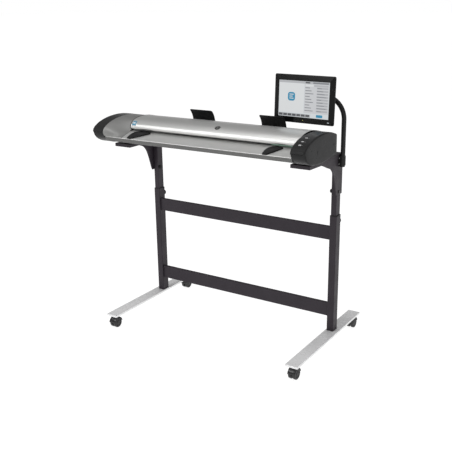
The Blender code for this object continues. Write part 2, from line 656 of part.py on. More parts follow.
def build_arm(finish, clamp_finish, column):
    """Bent tube on the right bracket, held by a saddle clamp."""
    end_x = MONITOR_X + 0.0175
    centre = (TUBE_X - TUBE_BEND, TUBE_BEND_START)
    top = TUBE_BEND_START + TUBE_BEND
    route = [(TUBE_X, TUBE_BOTTOM)] + arc(centre, TUBE_BEND, 0, 90, 12) + [(end_x, top)]
    directions = [90] + [90 + 90 * i / 12 for i in range(13)] + [180]
    sides = 12

    def ring(point, direction, radius):
        across = math.radians(direction - 90)
        points = []
        for i in range(sides):
            a = math.tau * i / sides
            u = radius * math.cos(a)
            points.append((point[0] + u * math.cos(across), TUBE_Y + radius * math.sin(a),
                           point[1] + u * math.sin(across)))
        return points

    outer = [ring(p, d, TUBE_RADIUS) for p, d in zip(route, directions)]
    inner = [ring(p, d, TUBE_RADIUS - 0.002) for p, d in zip(route, directions)]
    skin("monitor_arm_tube", outer + inner[::-1], finish, column, closed=True)

    foot = PLATE_OUTER + GAP
    centre = (TUBE_X, TUBE_Y)
    saddle = arc(centre, TUBE_RADIUS + 0.0033, 90, -90, 12)
    bore = arc(centre, TUBE_RADIUS + GAP, -90, 90, 12)
    low, high = TUBE_Y - 0.028, TUBE_Y + 0.028
    outline = ([(foot, high), (foot + 0.003, high), (foot + 0.003, saddle[0][1])] + saddle
               + [(foot + 0.003, saddle[-1][1]), (foot + 0.003, low), (foot, low), (foot, bore[0][1])]
               + bore + [(foot, bore[-1][1])])
    prism("arm_clamp", outline, "Z", 1.040, 1.090, clamp_finish, column)


def build_monitor(finishes, column):
    """Pan knuckle, tilt bracket and the monitor itself."""
    pan = joint("monitor_pan", (*PAN_POINT, TILT_POINT[1]), column, (0, 0, PAN_ANGLE))
    tilt = joint("monitor_tilt", (MONITOR_X, *TILT_POINT), pan, (TILT_ANGLE, 0, 0))
    z = TILT_POINT[1]
    knuckle = turned("monitor_pan_knuckle", [(0.015, z - 0.022), (0.017, z - 0.020), (0.017, z + 0.020),
                                             (0.015, z + 0.022)],
                     PAN_POINT, "Z", finishes["black"], pan, 24)
    lug = box("lug", (MONITOR_X - 0.0105, -0.0440, z - 0.008), (MONITOR_X + 0.0105, -0.0100, z + 0.008),
              finishes["black"], pan)
    combine(knuckle, "UNION", [lug])
    hole = rod("pin_hole", 0.0034, TILT_POINT, "X", MONITOR_X - 0.02, MONITOR_X + 0.02,
               finishes["black"], pan)
    combine(knuckle, "DIFFERENCE", [hole])

    bracket = box("monitor_tilt_bracket", (MONITOR_X - 0.050, MONITOR_REAR + GAP, MONITOR_Z - 0.050),
                  (MONITOR_X + 0.050, MONITOR_REAR + 0.0028, MONITOR_Z + 0.050), finishes["black"], tilt)
    ears = [box("ear", (MONITOR_X + sign * 0.0110, MONITOR_REAR + 0.001, z - 0.010),
                (MONITOR_X + sign * 0.0150, -0.0260, z + 0.010), finishes["black"], tilt) for sign in (-1, 1)]
    pin = rod("pin", 0.0030, TILT_POINT, "X", MONITOR_X - 0.018, MONITOR_X + 0.018, finishes["black"], tilt)
    combine(bracket, "UNION", ears + [pin])

    centre = (MONITOR_X, MONITOR_Z)
    seam = MONITOR_FRONT + 0.012
    shell = [(0.006, seam + GAP), (0.007, seam + 0.010), (0.050, MONITOR_REAR)]
    wall = 0.0025

    def ring(shrink, y, radius):
        size = (MONITOR[0] - shrink, MONITOR[1] - shrink)
        return on_plane(rounded_rectangle(centre, size, radius), "Y", y)

    rings = [ring(shrink + 2 * wall, y - (wall if y == MONITOR_REAR else 0), 0.006)
             for shrink, y in shell[::-1]]
    rings += [ring(shrink, y, 0.008) for shrink, y in shell]
    skin("monitor_rear_case", rings, finishes["case"], tilt)
    bezel = hollow_prism("monitor_bezel", rounded_rectangle(centre, MONITOR, 0.008),
                         rounded_rectangle(centre, SCREEN, 0.001), "Y", MONITOR_FRONT, seam,
                         finishes["gloss"], tilt)
    add_bevel(bezel, 0.001, 1)
    prism("monitor_display", rounded_rectangle(centre, [s - 2 * GAP for s in SCREEN], 0.001), "Y",
          MONITOR_FRONT + 0.001, MONITOR_FRONT + 0.008, finishes["screen"], tilt)


# ---------------------------------------------------------------- assembly

def main():
    for thing in list(bpy.data.objects):
        bpy.data.objects.remove(thing)

    frame_paint = material("frame_paint", (0.045, 0.040, 0.045), 0.45)
    silver = material("silver_lid", (0.60, 0.60, 0.59), 0.28, 0.9)
    table_grey = material("table_grey", (0.42, 0.42, 0.41), 0.40, 0.7)
    foot_silver = material("foot_silver", (0.70, 0.70, 0.71), 0.35, 0.6)
    finishes = {
        "black": material("black_plastic", (0.015, 0.015, 0.016), 0.45),
        "case": material("monitor_case", (0.020, 0.020, 0.022), 0.50),
        "gloss": material("gloss_black", (0.008, 0.008, 0.009), 0.12),
        "screen": material("screen", (0.75, 0.77, 0.80), 0.20),
        "glass": material("glass", (0.55, 0.75, 0.68), 0.05),
        "board": material("circuit_board", (0.03, 0.18, 0.07), 0.50),
        "sheet": material("sheet_metal", (0.55, 0.55, 0.56), 0.40, 1.0),
        "steel": material("steel", (0.50, 0.50, 0.50), 0.30, 1.0),
        "rubber": material("rubber", (0.03, 0.03, 0.03), 0.80),
        "cap": material("cap_charcoal", (0.030, 0.030, 0.032), 0.50),
        "button": material("button_grey", (0.55, 0.55, 0.56), 0.40),
        "plate": material("background_white", (0.85, 0.85, 0.84), 0.60),
    }

    root = joint("origin", (0, 0, 0))
    root.location = ORIGIN
    column = joint("height_slide", (0, 0, LOWER_POST_TOP), root)

    build_feet(foot_silver, root)
    ends = (("front", FOOT_FRONT + CASTER_INSET, -1), ("rear", FOOT_REAR - CASTER_INSET, 1))
    for side, sign in SIDES:
        for end, y, away in ends:
            build_caster(f"caster_{end}_{side}", sign * FOOT_X, y, away * CASTER_TRAIL,
                         finishes["black"], finishes["rubber"], root)
    build_posts(frame_paint, finishes["black"], root, column)
    build_crossbars(frame_paint, root)
    build_brackets(frame_paint, finishes["black"], finishes["rubber"], column)

    build_end_cap("left", CAP_LEFT_INNER, SCANNER_LEFT, finishes["cap"], column)
    right_cap = build_end_cap("right", CAP_RIGHT_INNER, SCANNER_RIGHT, finishes["cap"], column)
    build_buttons(right_cap, finishes["button"], column)
    build_base(table_grey, finishes["black"], finishes["steel"], column)
    build_table(table_grey, column)
    build_fairing(table_grey, column)
    build_rear_cover(table_grey, finishes["steel"], column)
    build_lid(silver, finishes["plate"], column)
    build_works(finishes, column)
    build_paper_guides(finishes["black"], column)
    build_return_guides(finishes["black"], column)
    build_arm(finishes["black"], finishes["black"], column)
    build_monitor(finishes, column)


main()
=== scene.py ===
"""Looks for a large-format document scanner on a wheeled stand: detailed pieces, materials, light, camera."""

import json
import math

import bmesh
import bpy
from mathutils import Matrix, Vector


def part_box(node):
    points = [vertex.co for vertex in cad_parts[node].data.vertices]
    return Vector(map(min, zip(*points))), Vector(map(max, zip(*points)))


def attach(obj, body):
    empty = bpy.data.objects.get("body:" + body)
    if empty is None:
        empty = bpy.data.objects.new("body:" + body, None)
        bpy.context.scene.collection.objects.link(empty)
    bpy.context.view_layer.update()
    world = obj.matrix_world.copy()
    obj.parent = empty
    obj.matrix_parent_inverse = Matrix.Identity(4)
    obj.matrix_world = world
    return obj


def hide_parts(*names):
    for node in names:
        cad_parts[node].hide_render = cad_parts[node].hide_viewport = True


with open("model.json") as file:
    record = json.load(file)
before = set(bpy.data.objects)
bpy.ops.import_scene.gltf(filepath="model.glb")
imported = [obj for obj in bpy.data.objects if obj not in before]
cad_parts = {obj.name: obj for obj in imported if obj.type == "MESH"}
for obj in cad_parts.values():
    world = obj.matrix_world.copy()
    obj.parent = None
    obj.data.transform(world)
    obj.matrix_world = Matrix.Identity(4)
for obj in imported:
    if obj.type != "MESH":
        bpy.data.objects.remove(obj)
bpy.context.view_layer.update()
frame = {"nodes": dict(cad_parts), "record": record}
nodes = frame["nodes"]

# Design coordinates, as in the CAD: X from the middle, Y from the posts' centre line, Z from the floor.
BAR_FRONT = 0.017  # the crossbar's front face is this far before the posts' centre line
bar_low, bar_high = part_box("upper_crossbar")
SHIFT = Vector(((bar_low.x + bar_high.x) / 2, bar_low.y + BAR_FRONT, 0))
DESIGN = Matrix.Translation(SHIFT)


# -------- curves and outlines

def spline(points, steps):
    """Points on a Catmull-Rom curve through the given ones, ends included."""
    ends = [points[0]] + list(points) + [points[-1]]
    curve = []
    for a, b, c, d in zip(ends, ends[1:], ends[2:], ends[3:]):
        for i in range(steps):
            t = i / steps
            curve.append(tuple(
                0.5 * (2 * q + (r - p) * t + (2 * p - 5 * q + 4 * r - s) * t * t
                       + (3 * q - p - 3 * r + s) * t ** 3)
                for p, q, r, s in zip(a, b, c, d)))
    return curve + [tuple(points[-1])]


def offset_path(path, distance):
    """The open path moved sideways, to the right of its direction for a positive distance."""
    moved = []
    for i, point in enumerate(path):
        before, after = path[max(i - 1, 0)], path[min(i + 1, len(path) - 1)]
        along = Vector((after[0] - before[0], after[1] - before[1])).normalized()
        moved.append((point[0] + along.y * distance, point[1] - along.x * distance))
    return moved


def sheet_outline(path, thickness):
    """Closed outline of a sheet that follows the path, thickened to its right."""
    return list(path) + offset_path(path, thickness)[::-1]


def inset(outline, distance):
    """A closed outline moved inwards by the distance."""
    count = len(outline)
    area = sum(outline[i][0] * outline[(i + 1) % count][1] - outline[(i + 1) % count][0] * outline[i][1]
               for i in range(count))
    side = 1 if area > 0 else -1
    moved = []
    for i, point in enumerate(outline):
        here = Vector(point)
        into = (here - Vector(outline[i - 1])).normalized()
        out = (Vector(outline[(i + 1) % count]) - here).normalized()
        normal = Vector((-into.y - out.y, into.x + out.x)).normalized() * side
        spread = max(normal.dot(Vector((-into.y, into.x)) * side), 0.6)
        moved.append(tuple(here + normal * distance / spread))
    return moved


def shrunk(outline, distance):
    """A closed outline with each point moved towards the middle by the distance."""
    middle = Vector((sum(p[0] for p in outline), sum(p[1] for p in outline))) / len(outline)
    return [tuple(Vector(p) + (middle - Vector(p)).normalized() * distance) for p in outline]


def arc(centre, radius, start, end, steps):
    """Points on an arc, angles in degrees."""
    angles = [math.radians(start + (end - start) * i / steps) for i in range(steps + 1)]
    return [(centre[0] + radius * math.cos(a), centre[1] + radius * math.sin(a)) for a in angles]


def rounded(centre, size, radius, steps=5):
    """Closed outline of a rectangle with round corners."""
    outline = []
    for quarter, (sx, sy) in enumerate(((1, 1), (-1, 1), (-1, -1), (1, -1))):
        corner = (centre[0] + sx * (size[0] / 2 - radius), centre[1] + sy * (size[1] / 2 - radius))
        outline += arc(corner, radius, 90 * quarter, 90 * quarter + 90, steps)
    return outline


def resample(path, count, trim=0.0):
    """The open path, less a trim at its far end, as count points evenly spaced along it."""
    lengths = [0.0]
    for a, b in zip(path, path[1:]):
        lengths.append(lengths[-1] + math.dist(a, b))
    total = lengths[-1] - trim
    points, i = [], 0
    for n in range(count):
        wanted = total * n / (count - 1)
        while i < len(path) - 2 and lengths[i + 1] < wanted:
            i += 1
        t = (wanted - lengths[i]) / (lengths[i + 1] - lengths[i])
        points.append(tuple(p + (q - p) * t for p, q in zip(path[i], path[i + 1])))
    return points


def on_plane(outline, axis, along):
    """Outline points as 3-D points on the plane that the axis crosses at along."""
    if axis == "X":
        return [(along, u, v) for u, v in outline]
    if axis == "Y":
        return [(u, along, v) for u, v in outline]
    return [(u, v, along) for u, v in outline]


def capsule(reach, radius):
    """Closed outline of a flat bar with round ends. reach is from its middle to each end's centre."""
    return arc((reach, 0), radius, -90, 90, 12) + arc((-reach, 0), radius, 90, 270, 12)


def ring_at(side, over, centre, radius, sides):
    """A round ring of 3-D points in the plane of two directions."""
    return [centre + radius * (math.cos(a) * side + math.sin(a) * over)
            for a in [math.tau * j / sides for j in range(sides)]]


# -------- mesh pieces

def add(name, data):
    """A new object in the scene."""
    made = bpy.data.objects.new(name, data)
    bpy.context.scene.collection.objects.link(made)
    return made


def piece(name, points, faces, finish, body, space=DESIGN, sharp=35, bevel=0.0, segments=2):
    """A closed mesh piece in design coordinates that rides on a body."""
    mesh = bpy.data.meshes.new(name)
    work = bmesh.new()
    corners = [work.verts.new(space @ Vector(p)) for p in points]
    for face in faces:
        work.faces.new([corners[i] for i in face])
    bmesh.ops.remove_doubles(work, verts=work.verts, dist=1e-6)
    bmesh.ops.recalc_face_normals(work, faces=work.faces)
    work.to_mesh(mesh)
    work.free()
    mesh.shade_smooth()
    mesh.set_sharp_from_angle(angle=math.radians(sharp))
    mesh.materials.append(finish)
    made = add(name, mesh)
    if bevel:
        edge = made.modifiers.new("Edge", "BEVEL")
        edge.width = bevel
        edge.segments = segments
        edge.limit_method = "ANGLE"
        edge.angle_limit = math.radians(40)
    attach(made, body)
    return made


def loft(name, rings, finish, body, closed=False, **options):
    """A solid through rings of points, closed on itself or capped at both ends."""
    count = len(rings[0])
    points = [p for ring in rings for p in ring]
    faces = []
    for i in range(len(rings) if closed else len(rings) - 1):
        a, b = i * count, ((i + 1) % len(rings)) * count
        faces += [(a + j, a + (j + 1) % count, b + (j + 1) % count, b + j) for j in range(count)]
    if not closed:
        faces += [tuple(range(count))[::-1], tuple((len(rings) - 1) * count + j for j in range(count))]
    return piece(name, points, faces, finish, body, **options)


def prism(name, outline, axis, start, end, finish, body, **options):
    """A solid with a constant section along an axis."""
    return loft(name, [on_plane(outline, axis, start), on_plane(outline, axis, end)], finish, body, **options)


def block(name, low, high, finish, body, bevel=0.001, **options):
    """A box between two corners with rounded edges."""
    (x0, x1), (y0, y1) = sorted((low[0], high[0])), sorted((low[1], high[1]))
    outline = [(x0, y0), (x1, y0), (x1, y1), (x0, y1)]
    return prism(name, outline, "Z", low[2], high[2], finish, body, bevel=bevel, **options)


def turned(name, profile, centre, axis, finish, body, sides=48, **options):
    """A turned solid. The profile is a list of (radius, position along the axis)."""
    turns = [math.tau * i / sides for i in range(sides)]
    rings = []
    for r, along in profile:
        ring = [(centre[0] + r * math.cos(a), centre[1] + r * math.sin(a)) for a in turns]
        rings.append(on_plane(ring, axis, along))
    return loft(name, rings, finish, body, **options)


def ribbed(name, profile, centre, axis, finish, body, ribs, depth, **options):
    """A turned solid with grip ribs round its widest part."""
    sides = ribs * 6
    widest = max(r for r, _ in profile)
    rings = []
    for r, along in profile:
        ring = []
        for i in range(sides):
            a = math.tau * i / sides
            cut = depth * (0.5 - 0.5 * math.cos(a * ribs)) * (r / widest) ** 6
            ring.append((centre[0] + (r - cut) * math.cos(a), centre[1] + (r - cut) * math.sin(a)))
        rings.append(on_plane(ring, axis, along))
    return loft(name, rings, finish, body, **options)


def pipe(name, route, radius, finish, body, sides=24, **options):
    """A round bar along a route of 3-D points."""
    rings = []
    up = Vector((0, 1, 0))
    for i, point in enumerate(route):
        along = (Vector(route[min(i + 1, len(route) - 1)]) - Vector(route[max(i - 1, 0)])).normalized()
        side = up.cross(along).normalized() if abs(up.dot(along)) < 0.99 else Vector((1, 0, 0))
        over = along.cross(side)
        rings.append(ring_at(side, over, Vector(point), radius, sides))
    return loft(name, rings, finish, body, **options)


def screw_head(name, centre, axis, out, radius, height, body, space=DESIGN):
    """A pan-head steel screw with a round recess. out is +1 or -1 along the axis."""
    u, v, w = centre
    shares = ((1, 0), (1, 0.45), (0.88, 0.85), (0.62, 1), (0.5, 1), (0.46, 0.35), (0.02, 0.3))
    profile = [(radius * r, w + out * (height * h)) for r, h in shares]
    turned(name, profile, (u, v), axis, STEEL, body, sides=24, space=space)


# -------- materials

def material(name, slot, colour, roughness, metallic=0.0, vary=0.08, patch=9.0, grain=(900.0, 0.10),
             stretch=None, gloss_vary=0.06, specks=None, specular=0.5, settings=()):
    """A Principled material with patchy colour, uneven gloss and a fine surface grain, in object space.
    stretch scales the grain along each axis, which makes a brushed surface."""
    made = bpy.data.materials.new(name)
    made.use_nodes = True
    made["slot"] = slot
    tree = made.node_tree
    new, link = tree.nodes.new, tree.links.new
    shader = tree.nodes["Principled BSDF"]
    shader.inputs["Roughness"].default_value = roughness
    shader.inputs["Metallic"].default_value = metallic
    for socket, value in (("Specular IOR Level", specular),) + settings:
        shader.inputs[socket].default_value = value
    place = new("ShaderNodeTexCoord").outputs["Object"]

    def noise(scale, detail, where=place):
        texture = new("ShaderNodeTexNoise")
        texture.inputs["Scale"].default_value = scale
        texture.inputs["Detail"].default_value = detail
        link(where, texture.inputs["Vector"])
        return texture.outputs["Fac"]

    def spread(source, low, high, start=0.3, end=0.7):
        ranged = new("ShaderNodeMapRange")
        for socket, value in (("From Min", start), ("From Max", end), ("To Min", low), ("To Max", high)):
            ranged.inputs[socket].default_value = value
        link(source, ranged.inputs["Value"])
        return ranged.outputs["Result"]

    def mixed(factor, a, b):
        mix = new("ShaderNodeMix")
        mix.data_type = "RGBA"
        link(factor, mix.inputs["Factor"])
        for socket, value in (("A", a), ("B", b)):
            target = [s for s in mix.inputs if s.name == socket and s.type == "RGBA"][0]
            if isinstance(value, tuple):
                target.default_value = value
            else:
                link(value, target)
        return [s for s in mix.outputs if s.type == "RGBA"][0]

    fine_place = place
    if stretch:
        mapping = new("ShaderNodeMapping")
        mapping.inputs["Scale"].default_value = stretch
        link(place, mapping.inputs["Vector"])
        fine_place = mapping.outputs["Vector"]
    fine = noise(grain[0], 3.0, fine_place)
    low = tuple(c * (1 - vary) for c in colour) + (1.0,)
    high = tuple(min(c * (1 + vary), 1.0) for c in colour) + (1.0,)
    blend = new("ShaderNodeMath")
    blend.operation = "MULTIPLY_ADD"
    blend.inputs[1].default_value = 0.55
    link(spread(noise(patch, 4.0), 0.0, 1.0), blend.inputs[0])
    link(spread(fine, 0.0, 0.45), blend.inputs[2])
    shade = mixed(blend.outputs[0], low, high)
    if specks:
        size, amount, speck_colour = specks
        dots = new("ShaderNodeTexVoronoi")
        dots.inputs["Scale"].default_value = size
        link(place, dots.inputs["Vector"])
        shade = mixed(spread(dots.outputs["Distance"], amount, 0.0, 0.10, 0.22), shade, speck_colour + (1.0,))
    link(shade, shader.inputs["Base Color"])
    gloss = spread(noise(patch * 2.3, 5.0), roughness - gloss_vary, roughness + gloss_vary)
    link(gloss, shader.inputs["Roughness"])
    bump = new("ShaderNodeBump")
    bump.inputs["Strength"].default_value = grain[1]
    bump.inputs["Distance"].default_value = 0.0004
    link(fine, bump.inputs["Height"])
    link(bump.outputs["Normal"], shader.inputs["Normal"])
    return made


def lit(name, colour, strength, slot="screen"):
    """A lit screen colour under a slight gloss, with a faint uneven backlight."""
    dimmed = tuple(c * 0.06 for c in colour)
    made = material(name, slot, dimmed, 0.18, vary=0.05, patch=14.0, grain=(600.0, 0.01))
    shader = made.node_tree.nodes["Principled BSDF"]
    shader.inputs["Emission Color"].default_value = colour + (1.0,)
    shader.inputs["Emission Strength"].default_value = strength
    return made


FRAME_PAINT = material("frame_powder_coat", "frame_paint", (0.0265, 0.0205, 0.0275), 0.50, vary=0.14,
                       grain=(1400.0, 0.22), specks=(900.0, 0.25, (0.045, 0.040, 0.047)), specular=0.28)
FOOT_PAINT = material("foot_silver_coat", "foot_silver", (0.92, 0.92, 0.925), 0.26, 0.15, vary=0.04,
                      grain=(1300.0, 0.04))
ARM_PAINT = material("arm_satin_black", "arm_black", (0.012, 0.0115, 0.012), 0.38, vary=0.12,
                     grain=(1000.0, 0.10), specular=0.25)
BLACK = material("black_moulded_plastic", "black_plastic", (0.0095, 0.0095, 0.010), 0.46, vary=0.12,
                 grain=(1700.0, 0.22), specular=0.16)
CAP = material("cap_moulded_charcoal", "cap_charcoal", (0.0255, 0.0255, 0.0260), 0.31, vary=0.10,
               grain=(1800.0, 0.14), specks=(1500.0, 0.10, (0.036, 0.036, 0.037)), specular=0.06)
BUTTON = material("button_light_grey", "button_grey", (0.48, 0.48, 0.49), 0.35, vary=0.04,
                  grain=(1500.0, 0.10))
TABLE = material("table_brushed_grey", "table_grey", (0.58, 0.58, 0.57), 0.36, 0.55, vary=0.04, patch=5.0,
                 grain=(700.0, 0.03), stretch=(0.02, 1.0, 1.0), gloss_vary=0.03)
LID = material("lid_satin_silver", "silver_lid", (0.62, 0.62, 0.61), 0.40, 0.85, vary=0.02, patch=4.0,
               grain=(800.0, 0.015), stretch=(0.015, 1.0, 1.0), gloss_vary=0.015)
LID_INSIDE = material("lid_inside_plastic", "silver_lid", (0.030, 0.030, 0.031), 0.55, vary=0.08)
WHITE_PLATE = material("background_matte_white", "background_white", (0.82, 0.82, 0.80), 0.6, vary=0.03,
                       grain=(1200.0, 0.08))
STEEL = material("zinc_steel", "steel", (0.50, 0.50, 0.49), 0.30, 1.0, vary=0.10, grain=(900.0, 0.10))
SHEET_METAL = material("sheet_metal_zinc", "sheet_metal", (0.52, 0.52, 0.53), 0.38, 1.0, vary=0.10,
                       patch=30.0, grain=(500.0, 0.08))
RUBBER = material("wheel_rubber", "rubber", (0.026, 0.026, 0.027), 0.48, vary=0.15, grain=(1200.0, 0.25),
                  specular=0.35)
GLASS = material("scan_glass_clear", "glass", (0.62, 0.84, 0.74), 0.04, vary=0.03, gloss_vary=0.01,
                 grain=(60.0, 0.01), settings=(("Transmission Weight", 0.85), ("IOR", 1.5)))
BOARD = material("circuit_board_green", "circuit_board", (0.025, 0.16, 0.06), 0.42, vary=0.20, patch=60.0,
                 grain=(500.0, 0.15))
GLOSS = material("gloss_black_bezel", "gloss_black", (0.005, 0.005, 0.0052), 0.14, vary=0.10,
                 gloss_vary=0.03, grain=(300.0, 0.012), specular=0.14)
CASE = material("monitor_case_black", "monitor_case", (0.012, 0.012, 0.013), 0.50, vary=0.10,
                grain=(1600.0, 0.26), specular=0.25)
# very dark black: the lid's real black end cheeks, and painted shade for the cap crease, the slits and the
# vents, which are flat dark patches, not recesses
BLACK_AND_PAINTED_SHADE = material("black_and_painted_gap_shade", "black_plastic", (0.004, 0.004, 0.004), 0.75, vary=0.15, grain=(900.0, 0.15),
                specular=0.12)
CASTER_BLACK = material("caster_gloss_black", "black_plastic", (0.020, 0.020, 0.021), 0.24, vary=0.12,
                        grain=(1500.0, 0.08))
# painted shade: the fairing is the same silver as the table, darkened here to the shade it shows
FAIRING = material("fairing_silver_with_painted_shade", "table_grey", (0.235, 0.235, 0.230), 0.46, 0.45, vary=0.04,
                   patch=7.0, grain=(1200.0, 0.10))
# painted shade: a darker copy of the table grey for the bullnose band under the lip, standing in for the
# darker reflection it catches
BAND_PAINTED_SHADE = material("band_painted_shade_grey", "table_grey", (0.125, 0.125, 0.122), 0.50, 0.10, vary=0.05,
                     patch=6.0, grain=(1200.0, 0.06), specular=0.30)
# painted highlight: a brighter copy of the table grey for the bead along the table's and the fairing's front
# lip
LIP = material("lip_painted_highlight", "table_grey", (0.78, 0.78, 0.77), 0.38, 0.40, vary=0.03, patch=6.0,
               grain=(1200.0, 0.04))
# painted shade: a dark copy of the sheet metal for the scanner's base, whose front edge lies in shadow under
# the band
BASE_PAINTED_SHADE = material("base_painted_shade_grey", "sheet_metal", (0.085, 0.085, 0.084), 0.46, 0.15, vary=0.08,
                      patch=9.0, grain=(1300.0, 0.14), specular=0.30)
LABEL = material("label_blue", "silver_lid", (0.07, 0.26, 0.40), 0.30, vary=0.10, patch=60.0,
                 grain=(900.0, 0.04))
LABEL_PALE = material("label_pale_grey", "silver_lid", (0.62, 0.68, 0.72), 0.30, vary=0.04)
# painted light: a glowing green strip at the slot's mouth stands in for the scanner lamp's light reflected on
# the table
SLOT_PAINTED_GLOW = lit("slot_painted_glow_green", (0.45, 0.80, 0.60), 0.45, "glass")
LAMP = lit("standby_lamp", (0.75, 0.72, 0.20), 0.8, "screen")
UI_WHITE = lit("ui_white", (0.80, 0.82, 0.83), 0.74)
UI_PANEL = lit("ui_panel", (0.62, 0.63, 0.65), 0.80)
UI_FIELD = lit("ui_field", (0.45, 0.46, 0.48), 0.80)
UI_GREY = lit("ui_grey", (0.48, 0.49, 0.51), 0.80)
UI_MID = lit("ui_mid_grey", (0.24, 0.25, 0.27), 0.8)
UI_DARK = lit("ui_dark_grey", (0.10, 0.105, 0.115), 0.7)
UI_BLUE = lit("ui_blue", (0.02, 0.25, 0.42), 0.85)

CAD_FINISHES = {
    "frame_paint": FRAME_PAINT, "foot_silver": FOOT_PAINT, "arm_black": ARM_PAINT, "black_plastic": BLACK,
    "cap_charcoal": CAP, "button_grey": BUTTON, "table_grey": TABLE, "silver_lid": LID,
    "background_white": WHITE_PLATE, "steel": STEEL, "sheet_metal": SHEET_METAL, "rubber": RUBBER,
    "glass": GLASS, "circuit_board": BOARD, "gloss_black": GLOSS, "monitor_case": CASE,
    "screen": lit("screen_background", (0.66, 0.70, 0.72), 0.84)}
for part in frame["record"]["subparts"]:
    node_mesh = nodes[part["node"]].data
    node_mesh.materials.clear()
    # the scanner's base gets the dark copy of the sheet metal: painted shade
    is_painted_shade_base = part["node"] == "scanner_base"
    node_mesh.materials.append(BASE_PAINTED_SHADE if is_painted_shade_base else CAD_FINISHES[part["material_slot"]])

# -------- stand

GAP = 0.0003  # between pieces that do not touch
POST_X = 0.5966
FOOT_X = POST_X + 0.0078
LOWER_POST = (0.040, 0.0545)
UPPER_POST = (0.031, 0.0495)
LOWER_TOP = 0.759
LOCK_HEIGHT = 0.722
AXLE_HEIGHT = 0.030
TRAIL = 0.014
WHEEL = ((0.0080, 0.0044), (0.0240, 0.0044), (0.0280, 0.0050), (0.0296, 0.0064), (0.0300, 0.0085),
         (0.0300, 0.0178), (0.0296, 0.0196), (0.0282, 0.0210), (0.0262, 0.0215), (0.0236, 0.0213),
         (0.0228, 0.0196), (0.0205, 0.0186), (0.0130, 0.0186), (0.0118, 0.0198), (0.0100, 0.0210),
         (0.0072, 0.0214), (0.0030, 0.0214))
SPOKES = 6
SPOKE_CORNERS = ((0.0112, -0.0016), (0.0232, -0.0011), (0.0232, 0.0011), (0.0112, 0.0016))
SIDES = (("left", -1), ("right", 1))


def weld(name, outline, axis, along, body, radius=0.0016):
    """A thin weld bead round an outline."""
    route = [Vector(p) for p in on_plane(outline, axis, along)]
    over = Vector([1.0 if a == axis else 0.0 for a in "XYZ"])
    count = len(route)
    rings = []
    for i, point in enumerate(route):
        into = (route[(i + 1) % count] - route[i - 1]).normalized()
        side = into.cross(over)
        thick = radius * (1 + 0.18 * math.sin(i * 2.1))
        rings.append(ring_at(side, over, point, thick, 8))
    return loft(name, rings, FRAME_PAINT, body, closed=True)


def dense(outline, step):
    """A closed outline with points at most step apart."""
    points = []
    for a, b in zip(outline, outline[1:] + outline[:1]):
        count = max(1, int(math.dist(a, b) / step))
        points += [tuple(p + (q - p) * i / count for p, q in zip(a, b)) for i in range(count)]
    return points


for side, sign in SIDES:
    x = sign * POST_X
    weld(f"foot_weld_{side}", dense(rounded((x, 0), LOWER_POST, 0.0035, 3), 0.004), "Z", 0.0888, "stand_base")
    outer = rounded((x, 0), (LOWER_POST[0] + 0.0006, LOWER_POST[1] + 0.0006), 0.0036)
    inner = rounded((x, 0), (UPPER_POST[0] + 0.0006, UPPER_POST[1] + 0.0006), 0.0030)
    low, high = LOWER_TOP + 0.0001, LOWER_TOP + 0.0031
    loft(f"post_bushing_{side}", [on_plane(outer, "Z", low), on_plane(outer, "Z", high),
                                  on_plane(inner, "Z", high), on_plane(inner, "Z", low)],
         BLACK, "stand_base", closed=True, bevel=0.0006)
    for bar, (z0, z1) in (("upper", (0.621, 0.6974)), ("lower", (0.1718, 0.2512))):
        outline = dense(rounded((-0.0075, (z0 + z1) / 2), (0.019, z1 - z0), 0.0025, 3), 0.004)
        weld(f"{bar}_bar_weld_{side}", outline, "X", sign * (POST_X - LOWER_POST[0] / 2 - 0.0006),
             "stand_base")

for side, sign in SIDES:
    profile = [(0.0035, 0.0252), (0.0040, 0.0262), (0.0040, 0.0278), (0.0072, 0.0279), (0.0078, 0.0290),
               (0.0078, 0.0318), (0.0132, 0.0326), (0.0152, 0.0338), (0.0160, 0.0356), (0.0160, 0.0434),
               (0.0152, 0.0450), (0.0128, 0.0459), (0.0090, 0.0460), (0.0084, 0.0452), (0.0020, 0.0450)]
    knob = ribbed(f"lock_knob_{side}", profile, (sign * POST_X, LOCK_HEIGHT), "Y", BLACK,
                  f"lock_screw_{side}", 14, 0.0011)
    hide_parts(f"height_lock_screw_{side}")

